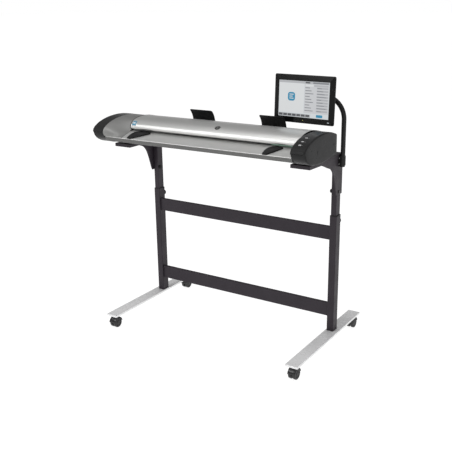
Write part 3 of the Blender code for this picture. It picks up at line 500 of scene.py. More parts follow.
# Casters: hood, swivel collar, top plate, web, and two wheels with spokes.
for end, y, away in (("front", -0.451, -1), ("rear", 0.248, 1)):
    for side, sign in SIDES:
        x = sign * FOOT_X
        axle = (y + away * TRAIL, AXLE_HEIGHT)
        body = f"caster_{end}_{side}"
        hood_rings = []
        for across, drop in ((-0.0230, 0.0016), (-0.0222, 0.0005), (-0.020, 0.0), (-0.006, -0.0002),
                             (0.006, -0.0002), (0.020, 0.0), (0.0222, 0.0005), (0.0230, 0.0016)):
            outline = arc(axle, 0.0348 - drop, 8, 172, 40) + arc(axle, 0.0323, 172, 8, 40)
            hood_rings.append(on_plane(outline, "X", x + across))
        hood = loft(f"{body}_hood", hood_rings, CASTER_BLACK, body)
        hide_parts(f"{body}_housing")
        turned(f"{body}_collar", [(0.0142, 0.0600), (0.0142, 0.0640), (0.0128, 0.0665), (0.0128, 0.0700),
                                  (0.0150, 0.0712), (0.0190, 0.0728), (0.0190, 0.0757)],
               (x, y), "Z", CASTER_BLACK, body, bevel=0.0004)
        half = 0.022
        block(f"{body}_top_plate", (x - half, y - half, 0.0733), (x + half, y + half, 0.0757), STEEL, body,
              bevel=0.0008)
        web = arc(axle, 0.0328, 15, 165, 24) + arc(axle, 0.0105, 200, 340, 12)
        prism(f"{body}_web", web, "X", x - 0.0028, x + 0.0028, CASTER_BLACK, body, bevel=0.0006)
        for hand, out in (("inner", -sign), ("outer", sign)):
            wheel = turned(f"{body}_wheel_{hand}", [(r, x + out * a) for r, a in WHEEL], axle, "X", RUBBER,
                           f"{body}_wheel_pair", sides=56)
            for spoke in range(SPOKES):
                c, s = math.cos(math.tau * spoke / SPOKES), math.sin(math.tau * spoke / SPOKES)
                corners = [(axle[0] + r * c - w * s, axle[1] + r * s + w * c) for r, w in SPOKE_CORNERS]
                prism(f"{body}_spoke_{hand}_{spoke}", corners, "X", x + out * 0.0180, x + out * 0.0200,
                      CASTER_BLACK, f"{body}_wheel_pair", bevel=0.0004)
            if hand == "inner":
                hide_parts(f"{body}_wheels")

# -------- scanner

LEFT, RIGHT = -0.678, 0.649
CAP_LEFT, CAP_RIGHT = LEFT + 0.078, RIGHT - 0.078
LID_LEFT = -0.480
REAR = -0.1195
TABLE_SPAN = (LID_LEFT - 0.0029, CAP_RIGHT - GAP)
FAIRING_SPAN = (CAP_LEFT + GAP, LID_LEFT - 0.0032)
SHEET = 0.0025  # thickness of the table's and the fairing's sheet
NOSE = (-0.4765, 1.184)
CAP_SKIN = [NOSE, (-0.4695, 1.1985), (-0.4505, 1.2135), (-0.4105, 1.2315), (-0.346, 1.2460), (-0.265, 1.2512),
            (-0.190, 1.2452), (-0.128, 1.2285)]
CAP_REAR = [(-0.1185, 1.2220), (-0.1175, 1.1340), (-0.1240, 1.1265)]
CAP_CHIN = [(-0.135, 1.122), (-0.188, 1.115), (-0.256, 1.1085), (-0.312, 1.107), (-0.366, 1.111),
            (-0.408, 1.120), (-0.4435, 1.1375), (-0.4635, 1.1575), (-0.4727, 1.1785)]
CHIN_LIP = (-0.4760, 1.1795)
TABLE_FRONT = (-0.457, 1.158)
TABLE_SLOT = (-0.375, 1.184)
BAND = [(-0.4590, 1.1530), (-0.4582, 1.1470), (-0.4535, 1.1385), (-0.4480, 1.1362)]
FAIRING_NOSE = [(-0.4740, 1.1740), (-0.4680, 1.1640), (-0.4600, 1.1585)]
FAIRING_END = [(-0.1285, 1.2275), (-0.1900, 1.2440), (-0.2500, 1.2515), (-0.2900, 1.2480), (-0.3250, 1.2330),
               (-0.3500, 1.2110), (-0.3680, 1.1945), (-0.3850, 1.1832), (-0.4000, 1.1768), (-0.4300, 1.1666)]
LID_PATH = [(-0.3600, 1.1948), (-0.3700, 1.1950), (-0.3785, 1.1985), (-0.3825, 1.2070), (-0.3750, 1.2250),
            (-0.3560, 1.2410), (-0.3300, 1.2500), (-0.2940, 1.2550), (-0.2500, 1.2555), (-0.2000, 1.2495),
            (-0.1500, 1.2380), (-0.1375, 1.2345)]


def table_height(y):
    """Height of the feed table's surface."""
    slope = (TABLE_SLOT[1] - TABLE_FRONT[1]) / (TABLE_SLOT[0] - TABLE_FRONT[0])
    return TABLE_FRONT[1] + slope * (y - TABLE_FRONT[0])


def on_skin(path, y):
    """Point and outward unit normal on a side profile at a given Y, where the profile runs front to rear."""
    for a, b in zip(path, path[1:]):
        if a[0] <= y <= b[0]:
            t = (y - a[0]) / (b[0] - a[0])
            along = (Vector(b) - Vector(a)).normalized()
            return (y, a[1] + t * (b[1] - a[1])), (-along.y, along.x)
    raise ValueError("no surface at this Y")


def skin_space(path, x, y):
    """Axes that stand on a side profile at a given X and Y, with Z along the outward normal."""
    (_, z), (across, up) = on_skin(path, y)
    return DESIGN @ Matrix.Translation((x, y, z)) @ Matrix.Rotation(math.atan2(-across, up), 4, "X")


# End caps: a wrapping skin strip, a chin and a flat side panel, with the moulded crease between them.
for side, inner_x, outer_x in (("left", CAP_LEFT, LEFT), ("right", CAP_RIGHT, RIGHT)):
    sign = 1 if outer_x > inner_x else -1
    outline = spline(CAP_SKIN, 8) + spline(CAP_REAR, 3) + spline(CAP_CHIN, 5) + [CHIN_LIP]
    cavity = inset(outline, 0.003)
    flush = outline[:-1] + [(-0.4748, 1.1812)]
    rings = [on_plane(cavity, "X", outer_x - sign * 0.003), on_plane(cavity, "X", inner_x),
             on_plane(inset(outline, 0.0004), "X", inner_x), on_plane(outline, "X", inner_x + sign * 0.0004),
             on_plane(outline, "X", outer_x - sign * 0.0090)]
    for back, amount in ((0.0075, 0.0), (0.0055, 0.0004), (0.0038, 0.0012), (0.0022, 0.0026),
                         (0.0010, 0.0044), (0.0002, 0.0066), (0.0, 0.0085), (0.0, 0.0400)):
        rings.append(on_plane(shrunk(flush, amount), "X", outer_x - sign * back))
    cap = loft(f"cap_shell_{side}", rings, CAP, "column", sharp=28)
    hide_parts(f"end_cap_{side}")
    # the moulded crease under the nose: a dark strip of painted shade
    block(f"cap_crease_{side}", (min(inner_x, outer_x - sign * 0.0085), -0.4767, 1.1797),
          (max(inner_x, outer_x - sign * 0.0085), -0.4730, 1.1812), BLACK_AND_PAINTED_SHADE, "column", bevel=0.0003)
    # a vent slit, painted as a flat dark patch of shade, and a screw cover on the side panel
    prism(f"cap_side_slit_{side}", rounded((-0.341, 1.169), (0.0034, 0.0210), 0.0016), "X",
          outer_x - sign * 0.0006, outer_x, BLACK_AND_PAINTED_SHADE, "column")
    turned(f"cap_screw_cover_{side}", [(0.0042, outer_x - sign * 0.0008), (0.0042, outer_x - sign * 0.0002),
                                       (0.0036, outer_x), (0.0006, outer_x)], (-0.158, 1.179), "X", BLACK,
           "column", sides=28)

# Buttons on the right cap's skin.
cap_path = spline(CAP_SKIN, 6)
for name, y in (("scan", -0.440), ("copy", -0.412), ("eject", -0.371)):
    space = skin_space(cap_path, 0.604, y)
    reach, half = (0.0158 - 0.0082) / 2, 0.0041
    rings = []
    for shrink, z in ((0.0, -0.0052), (0.0, 0.0004), (0.0004, 0.0009), (0.0012, 0.0012), (0.0024, 0.0013)):
        rings.append(on_plane(capsule(reach, half - shrink), "Z", z))
    button = loft(f"button_cap_{name}", rings, BUTTON, f"button_{name}_key", space=space)
    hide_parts(f"button_{name}")
    rings = [on_plane(capsule(reach, half + grow), "Z", z) for grow, z in (
        (0.0013, -0.0006), (0.0013, 0.0004), (0.0009, 0.0007), (0.0004, 0.0004), (0.0003, -0.0006))]
    loft(f"button_ring_{name}", rings, BLACK, "column", space=space, closed=True)
    # generic mark beside each key: a dot, a bar or a triangle
    mark = {"scan": [(0.0, 0.0012), (-0.0011, -0.0008), (0.0011, -0.0008)],
            "copy": [(-0.0010, 0.0008), (0.0010, 0.0008), (0.0010, -0.0008), (-0.0010, -0.0008)],
            "eject": arc((0, 0), 0.0010, 0, 345, 15)}[name]
    prism(f"button_mark_{name}", [(u + 0.0145, v) for u, v in mark], "Z", 0.0002, 0.0005, BUTTON, "column",
          space=space)

# Feed table with its rounded lip, and the fairing that runs out into it.
table_path = [(-0.335, 1.1893), (-0.350, 1.1885), (-0.362, 1.1868)] + [TABLE_SLOT] + \
    [(y, table_height(y)) for y in (-0.395, -0.415, -0.435, -0.449)] + \
    [(-0.4545, 1.1588), (-0.4572, 1.1573), (-0.4586, 1.1555)] + BAND
table = prism("table_sheet", sheet_outline(table_path, -SHEET), "X", *TABLE_SPAN, TABLE, "column",
              bevel=0.0003)
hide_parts("feed_table")
band_path = [(-0.4588, 1.1552)] + BAND
table_film = sheet_outline(offset_path(band_path, 0.00025), -0.0006)
# the table's and the fairing's bands take the darker grey: painted shade
prism("table_band", table_film, "X", *TABLE_SPAN, BAND_PAINTED_SHADE, "column")
prism("fairing_band", sheet_outline(band_path, -SHEET), "X", *FAIRING_SPAN, BAND_PAINTED_SHADE, "column")
# the lip beads take the brighter grey: a painted highlight along the front edge
for part, (start, end) in (("table", TABLE_SPAN), ("fairing", FAIRING_SPAN)):
    bead = [(0.0004, start), (0.0013, start + 0.0004), (0.0013, end - 0.0004), (0.0004, end)]
    turned(f"{part}_lip_bead", bead, (-0.4579, 1.1566), "X", LIP, "column", sides=16)
fairing_rear = [(REAR - GAP, 1.2225)]
cap_side = resample(spline(fairing_rear + CAP_SKIN[::-1] + FAIRING_NOSE, 12), 70)
lid_side = resample(spline(fairing_rear + FAIRING_END + [TABLE_FRONT], 12), 70)
rings = []
for i in range(29):
    t = i / 28
    blend = 0.6 * t + 0.4 * t * t * (3 - 2 * t)
    path = [tuple(p + (q - p) * blend for p, q in zip(a, b)) for a, b in zip(cap_side, lid_side)]
    start, end = FAIRING_SPAN
    rings.append(on_plane(sheet_outline(path, -SHEET), "X", start + (end - start) * t))
# the fairing's darker grey is painted shade on the table's silver
fairing = loft("fairing_shell", rings, FAIRING, "column", sharp=50)
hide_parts("left_fairing")
rear_path = [(-0.160, 1.2068), (-0.1215, 1.2068)] + spline([(-0.1200, 1.2075), (-0.1188, 1.2090)], 2) + \
    spline([(-0.1188, 1.2200), (-0.1192, 1.2240), (-0.1225, 1.2272), (-0.1325, 1.2308)], 5)
cover = prism("rear_cover_sheet", sheet_outline(rear_path, -0.002), "X", *TABLE_SPAN, TABLE, "column",
              bevel=0.0004)
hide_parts("rear_cover")

# Lid: the satin skin, its dark end cheeks, lugs, ribs, a badge with a plain ring and a plain label.
lid_path = spline(LID_PATH, 10)
lid = prism("lid_skin", sheet_outline(lid_path, 0.0030), "X", LID_LEFT + 0.0032, CAP_RIGHT - 0.0030, LID,
            "lid")
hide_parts("lid_cover")
cheek_foot = [(-0.150, 1.2345)]
cheek_outline = lid_path + cheek_foot
loft("lid_cheek_left", [on_plane(cheek_outline, "X", LID_LEFT + 0.0031),
                        on_plane(offset_path(lid_path, -0.0008) + cheek_foot, "X", LID_LEFT + 0.0028),
                        on_plane(offset_path(lid_path, -0.0010) + cheek_foot, "X", LID_LEFT + 0.0010),
                        on_plane(cheek_outline, "X", LID_LEFT)], BLACK_AND_PAINTED_SHADE, "lid")
prism("lid_cheek_right", cheek_outline, "X", CAP_RIGHT - 0.0030, CAP_RIGHT - 0.0010, BLACK_AND_PAINTED_SHADE, "lid")
for i, x in enumerate((-0.420, 0.045, 0.510)):
    lug = [(-0.1540, 1.2350), (-0.1540, 1.2240)] + arc((-0.146, 1.226), 0.0075, 195, 345, 12) + \
        [(-0.1392, 1.2240), (-0.1392, 1.2350)]
    prism(f"lid_lug_{i}", lug, "X", x - 0.012, x + 0.012, LID_INSIDE, "lid", bevel=0.0004)
for i, x in enumerate((-0.350, -0.200, -0.050, 0.100, 0.250, 0.400, 0.540)):
    block(f"lid_rib_{i}", (x - 0.0012, -0.296, 1.1960), (x + 0.0012, -0.205, 1.2475), LID_INSIDE, "lid",
          bevel=0.0004)
    block(f"lid_rib_foot_{i}", (x - 0.006, -0.292, 1.1958), (x + 0.006, -0.209, 1.1975), LID_INSIDE, "lid",
          bevel=0.0004)


def discs(steps):
    """Round rings of 3-D points, one for each (radius, height)."""
    return [on_plane(arc((0, 0), r, 0, 354, 59), "Z", z) for r, z in steps]


badge_space = skin_space([p for p in lid_path if p[0] <= -0.30 and p[1] > 1.2215], 0.080, -0.350)
disc = discs(((0.0150, -0.0022), (0.0150, 0.0006), (0.0146, 0.0009), (0.0138, 0.0010)))
loft("lid_badge", disc, BLACK, "lid", space=badge_space)
ring = discs(((0.0100, 0.0008), (0.0100, 0.0012), (0.0080, 0.0012), (0.0080, 0.0008)))
loft("lid_badge_ring", ring, STEEL, "lid", space=badge_space, closed=True)
prism("lid_badge_centre", rounded((0, 0), (0.0065, 0.0040), 0.0012), "Z", 0.0008, 0.0012, STEEL, "lid",
      space=badge_space)


def skin_patch(name, path, start, end, x0, x1, finish, body, lift):
    """A thin film on a curved skin, between two Y values and two X values. lift is its thickness."""
    part = [p for p in path if start <= p[0] <= end]
    prism(name, sheet_outline(part, -lift), "X", x0, x1, finish, body)


upper_front = [p for p in lid_path if p[1] > 1.2105]
skin_patch("lid_label", upper_front, -0.3800, -0.3585, -0.4700, -0.4440, LABEL, "lid", 0.00025)
skin_patch("lid_label_bar", upper_front, -0.3740, -0.3650, -0.4670, -0.4500, LABEL_PALE, "lid", 0.0004)

# The slot: a pale green strip that glows, painted light for the lamp light spilling out of the slot, the
# glass's front bed and the rollers' sleeves.
block("slot_painted_glow_strip", (0.400, -0.3520, 1.1893), (0.5700, -0.3490, 1.1903), SLOT_PAINTED_GLOW, "column",
      bevel=0.0003)
block("glass_bed_front", (LID_LEFT, -0.334, 1.1840), (CAP_RIGHT - 0.0006, -0.3325, 1.1890), BLACK, "column",
      bevel=0.0003)
for body, y in (("front_roller", -0.322), ("rear_roller", -0.178)):
    for i in range(7):
        x = -0.455 + i * 0.1495
        ring = [(0.0095, x), (0.0102, x + 0.0010), (0.0102, x + 0.0990), (0.0095, x + 0.1000)]
        ribbed(f"{body}_sleeve_{i}", ring, (y, 1.1795), "X", RUBBER, body, 16, 0.0002)

# The works' details: board chips, board sockets and supply louvres.
for i, (x, y, w) in enumerate(((-0.270, -0.280, 0.030), (-0.200, -0.250, 0.022), (-0.120, -0.270, 0.026))):
    block(f"board_chip_{i}", (x + 0.001, y + 0.001, 1.1331), (x + w - 0.001, y + w - 0.001, 1.1340), BLACK,
          "column", bevel=0.0003)
for i in range(6):
    block(f"board_socket_{i}", (-0.292 + i * 0.040, -0.196, 1.1299), (-0.268 + i * 0.040, -0.184, 1.1370),
          WHITE_PLATE, "column", bevel=0.0005)
for i in range(9):
    block(f"supply_louvre_{i}", (0.112 + i * 0.019, -0.292, 1.1486), (0.116 + i * 0.019, -0.208, 1.1494),
          STEEL, "column", bevel=0.0003)

# Rear of the scanner: vents painted as flat dark patches of shade, screws and the sockets' contacts.
for group, x0 in (("left", -0.420), ("right", 0.120)):
    for i in range(14):
        x = x0 + i * 0.016
        prism(f"rear_vent_{group}_{i}", rounded((x, 1.158), (0.0060, 0.0300), 0.0029), "Y", REAR + 0.0001,
              REAR + 0.0007, BLACK_AND_PAINTED_SHADE, "column")
for i, x in enumerate((-0.560, -0.300, 0.000, 0.330, 0.560)):
    screw_head(f"rear_screw_{i}", (x, 1.176, REAR), "Y", 1, 0.0032, 0.0016, "column")
for name, finish, low, high in (
        ("inlet_pin_left", STEEL, (0.5035, -0.1400, 1.1550), (0.5055, -0.1220, 1.1590)),
        ("inlet_pin_right", STEEL, (0.5145, -0.1400, 1.1550), (0.5165, -0.1220, 1.1590)),
        ("inlet_pin_earth", STEEL, (0.5090, -0.1400, 1.1600), (0.5110, -0.1220, 1.1635)),
        ("data_port_tongue", BLACK, (0.4560, -0.1400, 1.1572), (0.4640, -0.1230, 1.1590))):
    block(name, low, high, finish, "column", bevel=0.0003)

# Paper guides: a leaf-shaped blade with a rounded edge and a finger ridge.
for side, x, width in (("left", -0.447, 0.112), ("right", 0.406, 0.080)):
    front, rear_y = -0.460, -0.3770
    corner = [(x + 0.055 + 0.057 * math.cos(a), rear_y - 0.048 + 0.048 * math.sin(a))
              for a in [math.radians(180 - 90 * i / 24) for i in range(25)]]
    outline = ([(x + 0.004, front), (x + 0.001, front + 0.004), (x, front + 0.010)] + corner
               + [(x + width - 0.010, rear_y - 0.001), (x + width - 0.004, rear_y - 0.004),
                  (x + width, rear_y - 0.012), (x + 0.026, front)])
    rings = [[(px, py, table_height(py) + high) for px, py in inset(outline, tuck)]
             for high, tuck in ((0.0004, 0.0004), (0.0008, 0.0), (0.0056, 0.0), (0.0066, 0.0004),
                                (0.0072, 0.0012), (0.0074, 0.0024))]
    guide = loft(f"guide_blade_{side}", rings, BLACK, f"table_guide_{side}", sharp=45)
    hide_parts(f"paper_guide_{side}")
    route = [(px + 0.0035, py - 0.0030, table_height(py) + 0.0073) for px, py in corner[4:-2]]
    pipe(f"guide_ridge_{side}", route, 0.0009, BLACK, f"table_guide_{side}", sides=10)

# Return guides: curved sheets with round upper corners and stiffening ribs.
RETURN_PATH = [(-0.1175, 1.1480), (-0.1110, 1.1540), (-0.1080, 1.1750), (-0.1085, 1.2100), (-0.1160, 1.2450),
               (-0.1290, 1.2720), (-0.1450, 1.2900)]
RETURN_WIDTH = 0.148
RETURN_CORNER = 0.008
RETURN_SHEET = 0.0030
RETURN_EDGE = (0.0, 0.0004, 0.0014, 0.0030, 0.0050, 0.0080)
RETURN_RIBS = (0.030, 0.074, 0.118)
RETURN_COLUMNS = [*RETURN_EDGE, *RETURN_RIBS] + [RETURN_WIDTH - across for across in RETURN_EDGE[::-1]]


def corner_drop(across):
    """How far a return guide's upper edge drops at a distance across, for its round corners."""
    missing = RETURN_CORNER - min(across, RETURN_WIDTH - across)
    return RETURN_CORNER - math.sqrt(max(RETURN_CORNER ** 2 - missing ** 2, 0.0)) if missing > 0 else 0.0


return_path = spline(RETURN_PATH, 8)[1:]  # the first point would reach the data port at the slide's end
for side, x in (("left", -0.243), ("right", 0.206)):
    body = f"rear_guide_{side}"
    rings = []
    for across in RETURN_COLUMNS:
        front_side = resample(return_path, 44, corner_drop(across))
        rings.append(on_plane(sheet_outline(front_side, RETURN_SHEET), "X", x + across))
    sheet_piece = loft(f"return_sheet_{side}", rings, BLACK, body, sharp=50)
    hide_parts(f"return_guide_{side}")
    rib = sheet_outline(offset_path(return_path, 0.0032)[6:-10], 0.0030)
    for i, across in enumerate(RETURN_RIBS):
        prism(f"return_rib_{side}_{i}", rib, "X", x + across - 0.0012, x + across + 0.0012, BLACK, body,
              bevel=0.0005)

# -------- brackets, bolts and the monitor's arm

PLATE_INNER = POST_X + UPPER_POST[0] / 2 + GAP
PLATE_OUTER = PLATE_INNER + 0.006
PLATE_FACE = PLATE_OUTER + GAP
BOLT = (-0.010, 0.895)
TUBE_R = 0.0125
TUBE_X, TUBE_Y = PLATE_OUTER + TUBE_R + GAP, -0.005
TUBE_BEND = 0.116
for side, sign in SIDES:
    washer = [(r, sign * (PLATE_FACE + lift)) for r, lift in (
        (0.0001, 0.0), (0.0100, 0.0), (0.0100, 0.0014), (0.0094, 0.0018), (0.0045, 0.0018))]
    bolt = turned(f"bolt_washer_{side}", washer, BOLT, "X", CASTER_BLACK, "column")
    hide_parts(f"bracket_bolt_{side}")
    hexagon = [(BOLT[0] + 0.0078 * math.cos(a), BOLT[1] + 0.0078 * math.sin(a))
               for a in [math.tau * i / 6 + 0.3 for i in range(6)]]
    prism(f"bolt_head_{side}", hexagon, "X", sign * (PLATE_FACE + 0.0017), sign * (PLATE_FACE + 0.0046),
          CASTER_BLACK, "column", bevel=0.0006)
    nut = POST_X - UPPER_POST[0] / 2 - GAP
    turned(f"bolt_nut_cap_{side}", [(0.0120, sign * nut), (0.0120, sign * (nut - 0.0015)),
                                    (0.0108, sign * (nut - 0.0030)), (0.0108, sign * (nut - 0.0085)),
                                    (0.0090, sign * (nut - 0.0108)), (0.0040, sign * (nut - 0.0115))],
           BOLT, "X", BLACK, "column", sides=40)
    pad_x = sign * 0.540
    pad = block(f"scanner_pad_{side}", (pad_x - 0.025, -0.335, 1.1013), (pad_x + 0.025, -0.285, 1.1068),
                RUBBER, "column", bevel=0.0018)
    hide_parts(f"scanner_foot_{side}")
    for i, y in enumerate((-0.300, -0.180, -0.060)):
        screw_head(f"shelf_screw_{side}_{i}", (sign * 0.560, y, 1.0978), "Z", -1, 0.0042, 0.0022,
                   "column")

bend = (TUBE_X - TUBE_BEND, 1.278)
tube_route = [(TUBE_X, TUBE_Y, 1.0322), (TUBE_X, TUBE_Y, 1.10), (TUBE_X, TUBE_Y, 1.20)]
tube_route += [(px, TUBE_Y, pz) for px, pz in arc(bend, TUBE_BEND, 0, 90, 40)]
tube_route += [(0.4600, TUBE_Y, bend[1] + TUBE_BEND)]
arm = pipe("arm_tube", tube_route, TUBE_R, ARM_PAINT, "column", sides=40)
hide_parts("monitor_arm_tube")
turned("arm_end_plug", [(0.0118, 1.0320), (0.0122, 1.0326), (0.0122, 1.0340)], (TUBE_X, TUBE_Y), "Z", BLACK,
       "column")
for i, (y, z) in enumerate(((TUBE_Y - 0.0225, 1.050), (TUBE_Y - 0.0225, 1.080), (TUBE_Y + 0.0225, 1.050),
                            (TUBE_Y + 0.0225, 1.080))):
    screw_head(f"clamp_screw_{i}", (y, z, PLATE_FACE + 0.0030), "X", 1, 0.0036, 0.0024, "column")

# -------- monitor

MON_X, MON_Z = 0.4425, 1.377
FRONT_Y, REAR_Y = -0.085, -0.051
TILT_Y, TILT_Z = -0.034, 1.394
PAN = Matrix.Translation((MON_X, TUBE_Y, TILT_Z)) @ Matrix.Rotation(math.radians(-4), 4, "Z") @ \
    Matrix.Translation((-MON_X, -TUBE_Y, -TILT_Z))
TILT = PAN @ Matrix.Translation((MON_X, TILT_Y, TILT_Z)) @ Matrix.Rotation(math.radians(-3), 4, "X") @ \
    Matrix.Translation((-MON_X, -TILT_Y, -TILT_Z))
PAN_SPACE, TILT_SPACE = DESIGN @ PAN, DESIGN @ TILT
OUTER, SCREEN = (0.358, 0.247), (0.300, 0.185)
UI_LAYER = 0.00012  # thickness of one layer of the display's picture
centre = (MON_X, MON_Z)


def monitor_ring(size, y, radius):
    """A round-cornered ring of points about the monitor's middle, at a given Y."""
    return on_plane(rounded(centre, size, radius, 8), "Y", y)


# Rear case with a domed back, vents painted as flat dark patches of shade, and mounting screws.
case_rings = []
for grow, y, radius in ((-0.0060, FRONT_Y + 0.0123, 0.0075), (-0.0060, FRONT_Y + 0.0140, 0.0075),
                        (-0.0075, FRONT_Y + 0.0200, 0.0080), (-0.0140, FRONT_Y + 0.0250, 0.0100),
                        (-0.0300, FRONT_Y + 0.0290, 0.0140), (-0.0500, FRONT_Y + 0.0318, 0.0180),
                        (-0.0700, REAR_Y - 0.0011, 0.0200), (-0.0900, REAR_Y - 0.0001, 0.0200)):
    case_rings.append(monitor_ring((OUTER[0] + grow, OUTER[1] + grow), y, radius))
case = loft("monitor_case_shell", case_rings, CASE, "monitor", space=TILT_SPACE, sharp=50)
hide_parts("monitor_rear_case")
for i in range(16):
    x = MON_X - 0.0900 + i * 0.0120
    for row, z in (("top", MON_Z + 0.0680), ("low", MON_Z - 0.0680)):
        prism(f"case_vent_{row}_{i}", rounded((x, z), (0.0040, 0.0110), 0.0019, 4), "Y", REAR_Y - 0.0008,
              REAR_Y + 0.0002, BLACK_AND_PAINTED_SHADE, "monitor", space=TILT_SPACE)
for i, (sx, sz) in enumerate(((-1, -1), (1, -1), (-1, 1), (1, 1))):
    spot = (MON_X + sx * 0.0375, MON_Z + sz * 0.0375, REAR_Y + 0.0028)
    screw_head(f"mount_screw_{i}", spot, "Y", 1, 0.0034, 0.0020, "monitor", space=TILT_SPACE)

# Bezel: a mitred frame whose flat faces slope back from the screen, with crisp outer edges.
profile = [(SCREEN[0], SCREEN[1], FRONT_Y + 0.0100, 0.0006), (SCREEN[0], SCREEN[1], FRONT_Y + 0.0006, 0.0006),
           (SCREEN[0] + 0.0010, SCREEN[1] + 0.0010, FRONT_Y, 0.0008),
           (OUTER[0] - 0.0040, OUTER[1] - 0.0040, FRONT_Y + 0.0046, 0.0060),
           (OUTER[0] - 0.0008, OUTER[1] - 0.0008, FRONT_Y + 0.0058, 0.0072),
           (OUTER[0], OUTER[1], FRONT_Y + 0.0080, 0.0075), (OUTER[0], OUTER[1], FRONT_Y + 0.0120, 0.0075),
           (SCREEN[0] + 0.0100, SCREEN[1] + 0.0100, FRONT_Y + 0.0120, 0.0040)]
bezel = loft("bezel_frame", [monitor_ring((w, h), y, r) for w, h, y, r in profile], GLOSS, "monitor",
             closed=True, space=TILT_SPACE, sharp=14)
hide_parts("monitor_bezel")
turned("bezel_lamp", [(0.0012, FRONT_Y + 0.0005), (0.0012, FRONT_Y + 0.0026)],
       (MON_X, MON_Z - 0.1075), "Y", LAMP, "monitor", space=TILT_SPACE, sides=20)
prism("bezel_side_mark", rounded((MON_X + 0.1660, MON_Z + 0.0600), (0.0040, 0.0090), 0.0016), "Y",
      FRONT_Y + 0.0022, FRONT_Y + 0.0046, CASE, "monitor", space=TILT_SPACE)
prism("bezel_mark", rounded((MON_X + 0.1500, MON_Z - 0.1085), (0.0110, 0.0036), 0.0012), "Y",
      FRONT_Y + 0.0012, FRONT_Y + 0.0040, LABEL_PALE, "monitor", space=TILT_SPACE)


def ui(name, x0, z0, x1, z1, finish, layer=1, radius=0.0004):
    """A flat patch of the display. Corners as shares of the screen from its lower left corner."""
    left, low = MON_X - SCREEN[0] / 2, MON_Z - SCREEN[1] / 2
    ax, bx = left + x0 * SCREEN[0], left + x1 * SCREEN[0]
    az, bz = low + z0 * SCREEN[1], low + z1 * SCREEN[1]
    y = FRONT_Y + 0.0010
    prism(f"ui_{name}", rounded(((ax + bx) / 2, (az + bz) / 2), (bx - ax, bz - az), radius, 4), "Y",
          y - UI_LAYER * layer, y - UI_LAYER * (layer - 1), finish, "monitor", space=TILT_SPACE)


ui("header", 0.005, 0.935, 0.995, 0.995, UI_GREY)
ui("header_title", 0.53, 0.945, 0.62, 0.985, UI_DARK, 2)
ui("header_status", 0.68, 0.940, 0.98, 0.985, UI_MID, 2)
ui("page_area", 0.010, 0.120, 0.505, 0.930, UI_WHITE)
ui("page_symbol", 0.185, 0.440, 0.330, 0.680, UI_BLUE, 2, 0.013)
for i, (a, b) in enumerate(((0.215, 0.300), (0.215, 0.280), (0.215, 0.300))):
    ui(f"page_symbol_line_{i}", a, 0.610 - i * 0.055, b, 0.632 - i * 0.055, UI_WHITE, 3)
ui("side_panel", 0.515, 0.130, 0.990, 0.930, UI_PANEL)
ui("panel_tab_left", 0.530, 0.865, 0.690, 0.915, UI_WHITE, 2)
ui("panel_tab_right", 0.700, 0.865, 0.975, 0.915, UI_GREY, 2)
for i in range(9):
    z = 0.815 - i * 0.078
    ui(f"row_name_{i}", 0.530, z, 0.620 + 0.035 * ((i * 7) % 3), z + 0.022, UI_MID, 2)
    ui(f"row_field_{i}", 0.755, z - 0.012, 0.975, z + 0.036, UI_FIELD, 2)
    ui(f"row_value_{i}", 0.765, z, 0.850 + 0.030 * ((i * 5) % 4), z + 0.018, UI_MID, 3)
ui("footer", 0.005, 0.012, 0.645, 0.095, UI_GREY)
for i in range(7):
    ui(f"footer_key_{i}", 0.012 + i * 0.090, 0.022, 0.088 + i * 0.090, 0.085, UI_DARK, 2)
ui("start_key", 0.760, 0.030, 0.885, 0.105, UI_BLUE, 2, 0.004)

# The pan knuckle's cap and the heads of the tilt pin.
turned("knuckle_cap", [(0.0172, TILT_Z + 0.0195), (0.0172, TILT_Z + 0.0212), (0.0160, TILT_Z + 0.0228),
                       (0.0120, TILT_Z + 0.0236), (0.0020, TILT_Z + 0.0238)], (MON_X, TUBE_Y), "Z", BLACK,
       "monitor_pan_joint", space=PAN_SPACE)
for side, sign in SIDES:
    screw_head(f"tilt_pin_head_{side}", (TILT_Y, TILT_Z, MON_X + sign * 0.0180), "X", sign, 0.0050, 0.0030,
               "monitor", space=TILT_SPACE)

# -------- camera, light and floor

eye = Vector((2.1872, -3.3802, 1.9049))
azimuth, elevation, roll = math.radians(33.208), math.radians(17.578), math.radians(-0.880)
back = Vector((math.sin(azimuth) * math.cos(elevation), -math.cos(azimuth) * math.cos(elevation),
               math.sin(elevation)))
level = (-back).cross(Vector((0, 0, 1))).normalized()
above = level.cross(-back)
right_axis = math.cos(roll) * level + math.sin(roll) * above
up_axis = -math.sin(roll) * level + math.cos(roll) * above
camera = add("camera", bpy.data.cameras.new("camera"))
pose = Matrix((right_axis, up_axis, back)).transposed().to_4x4()
pose.translation = eye
camera.matrix_world = pose
camera.data.sensor_width = 36
camera.data.lens = 58.45
bpy.context.scene.camera = camera

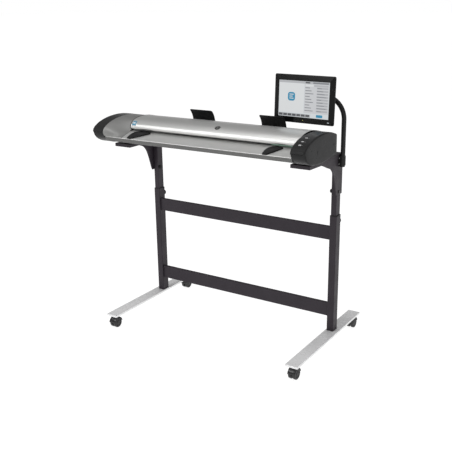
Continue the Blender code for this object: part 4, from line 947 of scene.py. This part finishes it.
world = bpy.data.worlds.new("studio")
bpy.context.scene.world = world
world.use_nodes = True
tree = world.node_tree
sky = tree.nodes["Background"]
coordinates = tree.nodes.new("ShaderNodeTexCoord")
split = tree.nodes.new("ShaderNodeSeparateXYZ")
ramp = tree.nodes.new("ShaderNodeValToRGB")
tree.links.new(coordinates.outputs["Generated"], split.inputs["Vector"])
tree.links.new(split.outputs["Z"], ramp.inputs["Fac"])
tree.links.new(ramp.outputs["Color"], sky.inputs["Color"])
stops = ramp.color_ramp.elements
stops[0].position, stops[0].color = 0.0, (1.0, 1.0, 1.0, 1)
stops[1].position, stops[1].color = 1.0, (0.62, 0.62, 0.62, 1)
for position, shade in ((0.06, 1.0), (0.14, 0.40), (0.30, 0.24), (0.55, 0.26), (0.80, 0.48)):
    stop = stops.new(position)
    stop.color = (shade, shade, shade, 1)
sky.inputs["Strength"].default_value = 1.0


def softbox(name, azimuth_deg, elevation_deg, distance, size, power):
    """An area light that faces the scanner from a direction. Azimuth 0 is the operator's side, 90 is +X."""
    a, e = math.radians(azimuth_deg), math.radians(elevation_deg)
    aim = Vector((0, 0, 1.0))
    place = aim + distance * Vector((math.sin(a) * math.cos(e), -math.cos(a) * math.cos(e), math.sin(e)))
    data = bpy.data.lights.new(name, "AREA")
    data.shape = "RECTANGLE"
    data.size, data.size_y = size
    data.energy = power
    light = add(name, data)
    light.location = place
    light.rotation_euler = (aim - place).to_track_quat("-Z", "Y").to_euler()
    light.visible_camera = False


softbox("key_softbox", -31, 31, 4.5, (2.4, 1.5), 52)
softbox("right_softbox", 75, 35, 4.5, (2.0, 2.4), 10)
softbox("rear_softbox", 170, 55, 4.5, (3.0, 2.0), 12)
softbox("top_softbox", 0, 68, 4.0, (3.0, 1.6), 38)

floor_finish = bpy.data.materials.new("studio_floor")
floor_finish.use_nodes = True
floor_shader = floor_finish.node_tree.nodes["Principled BSDF"]
for socket, value in (("Base Color", (0.30, 0.30, 0.30, 1)), ("Roughness", 0.9), ("Specular IOR Level", 0.1),
                      ("Emission Color", (1, 1, 1, 1)), ("Emission Strength", 0.90)):
    floor_shader.inputs[socket].default_value = value
floor_mesh = bpy.data.meshes.new("studio_floor")
reach = 60.0
floor_mesh.from_pydata([(-reach, -reach, 0), (reach, -reach, 0), (reach, reach, 0), (-reach, reach, 0)], [],
                       [(0, 1, 2, 3)])
floor_mesh.materials.append(floor_finish)
floor = add("studio_floor", floor_mesh)

bpy.context.scene.view_settings.view_transform = "Standard"
bpy.context.scene.view_settings.look = "None"
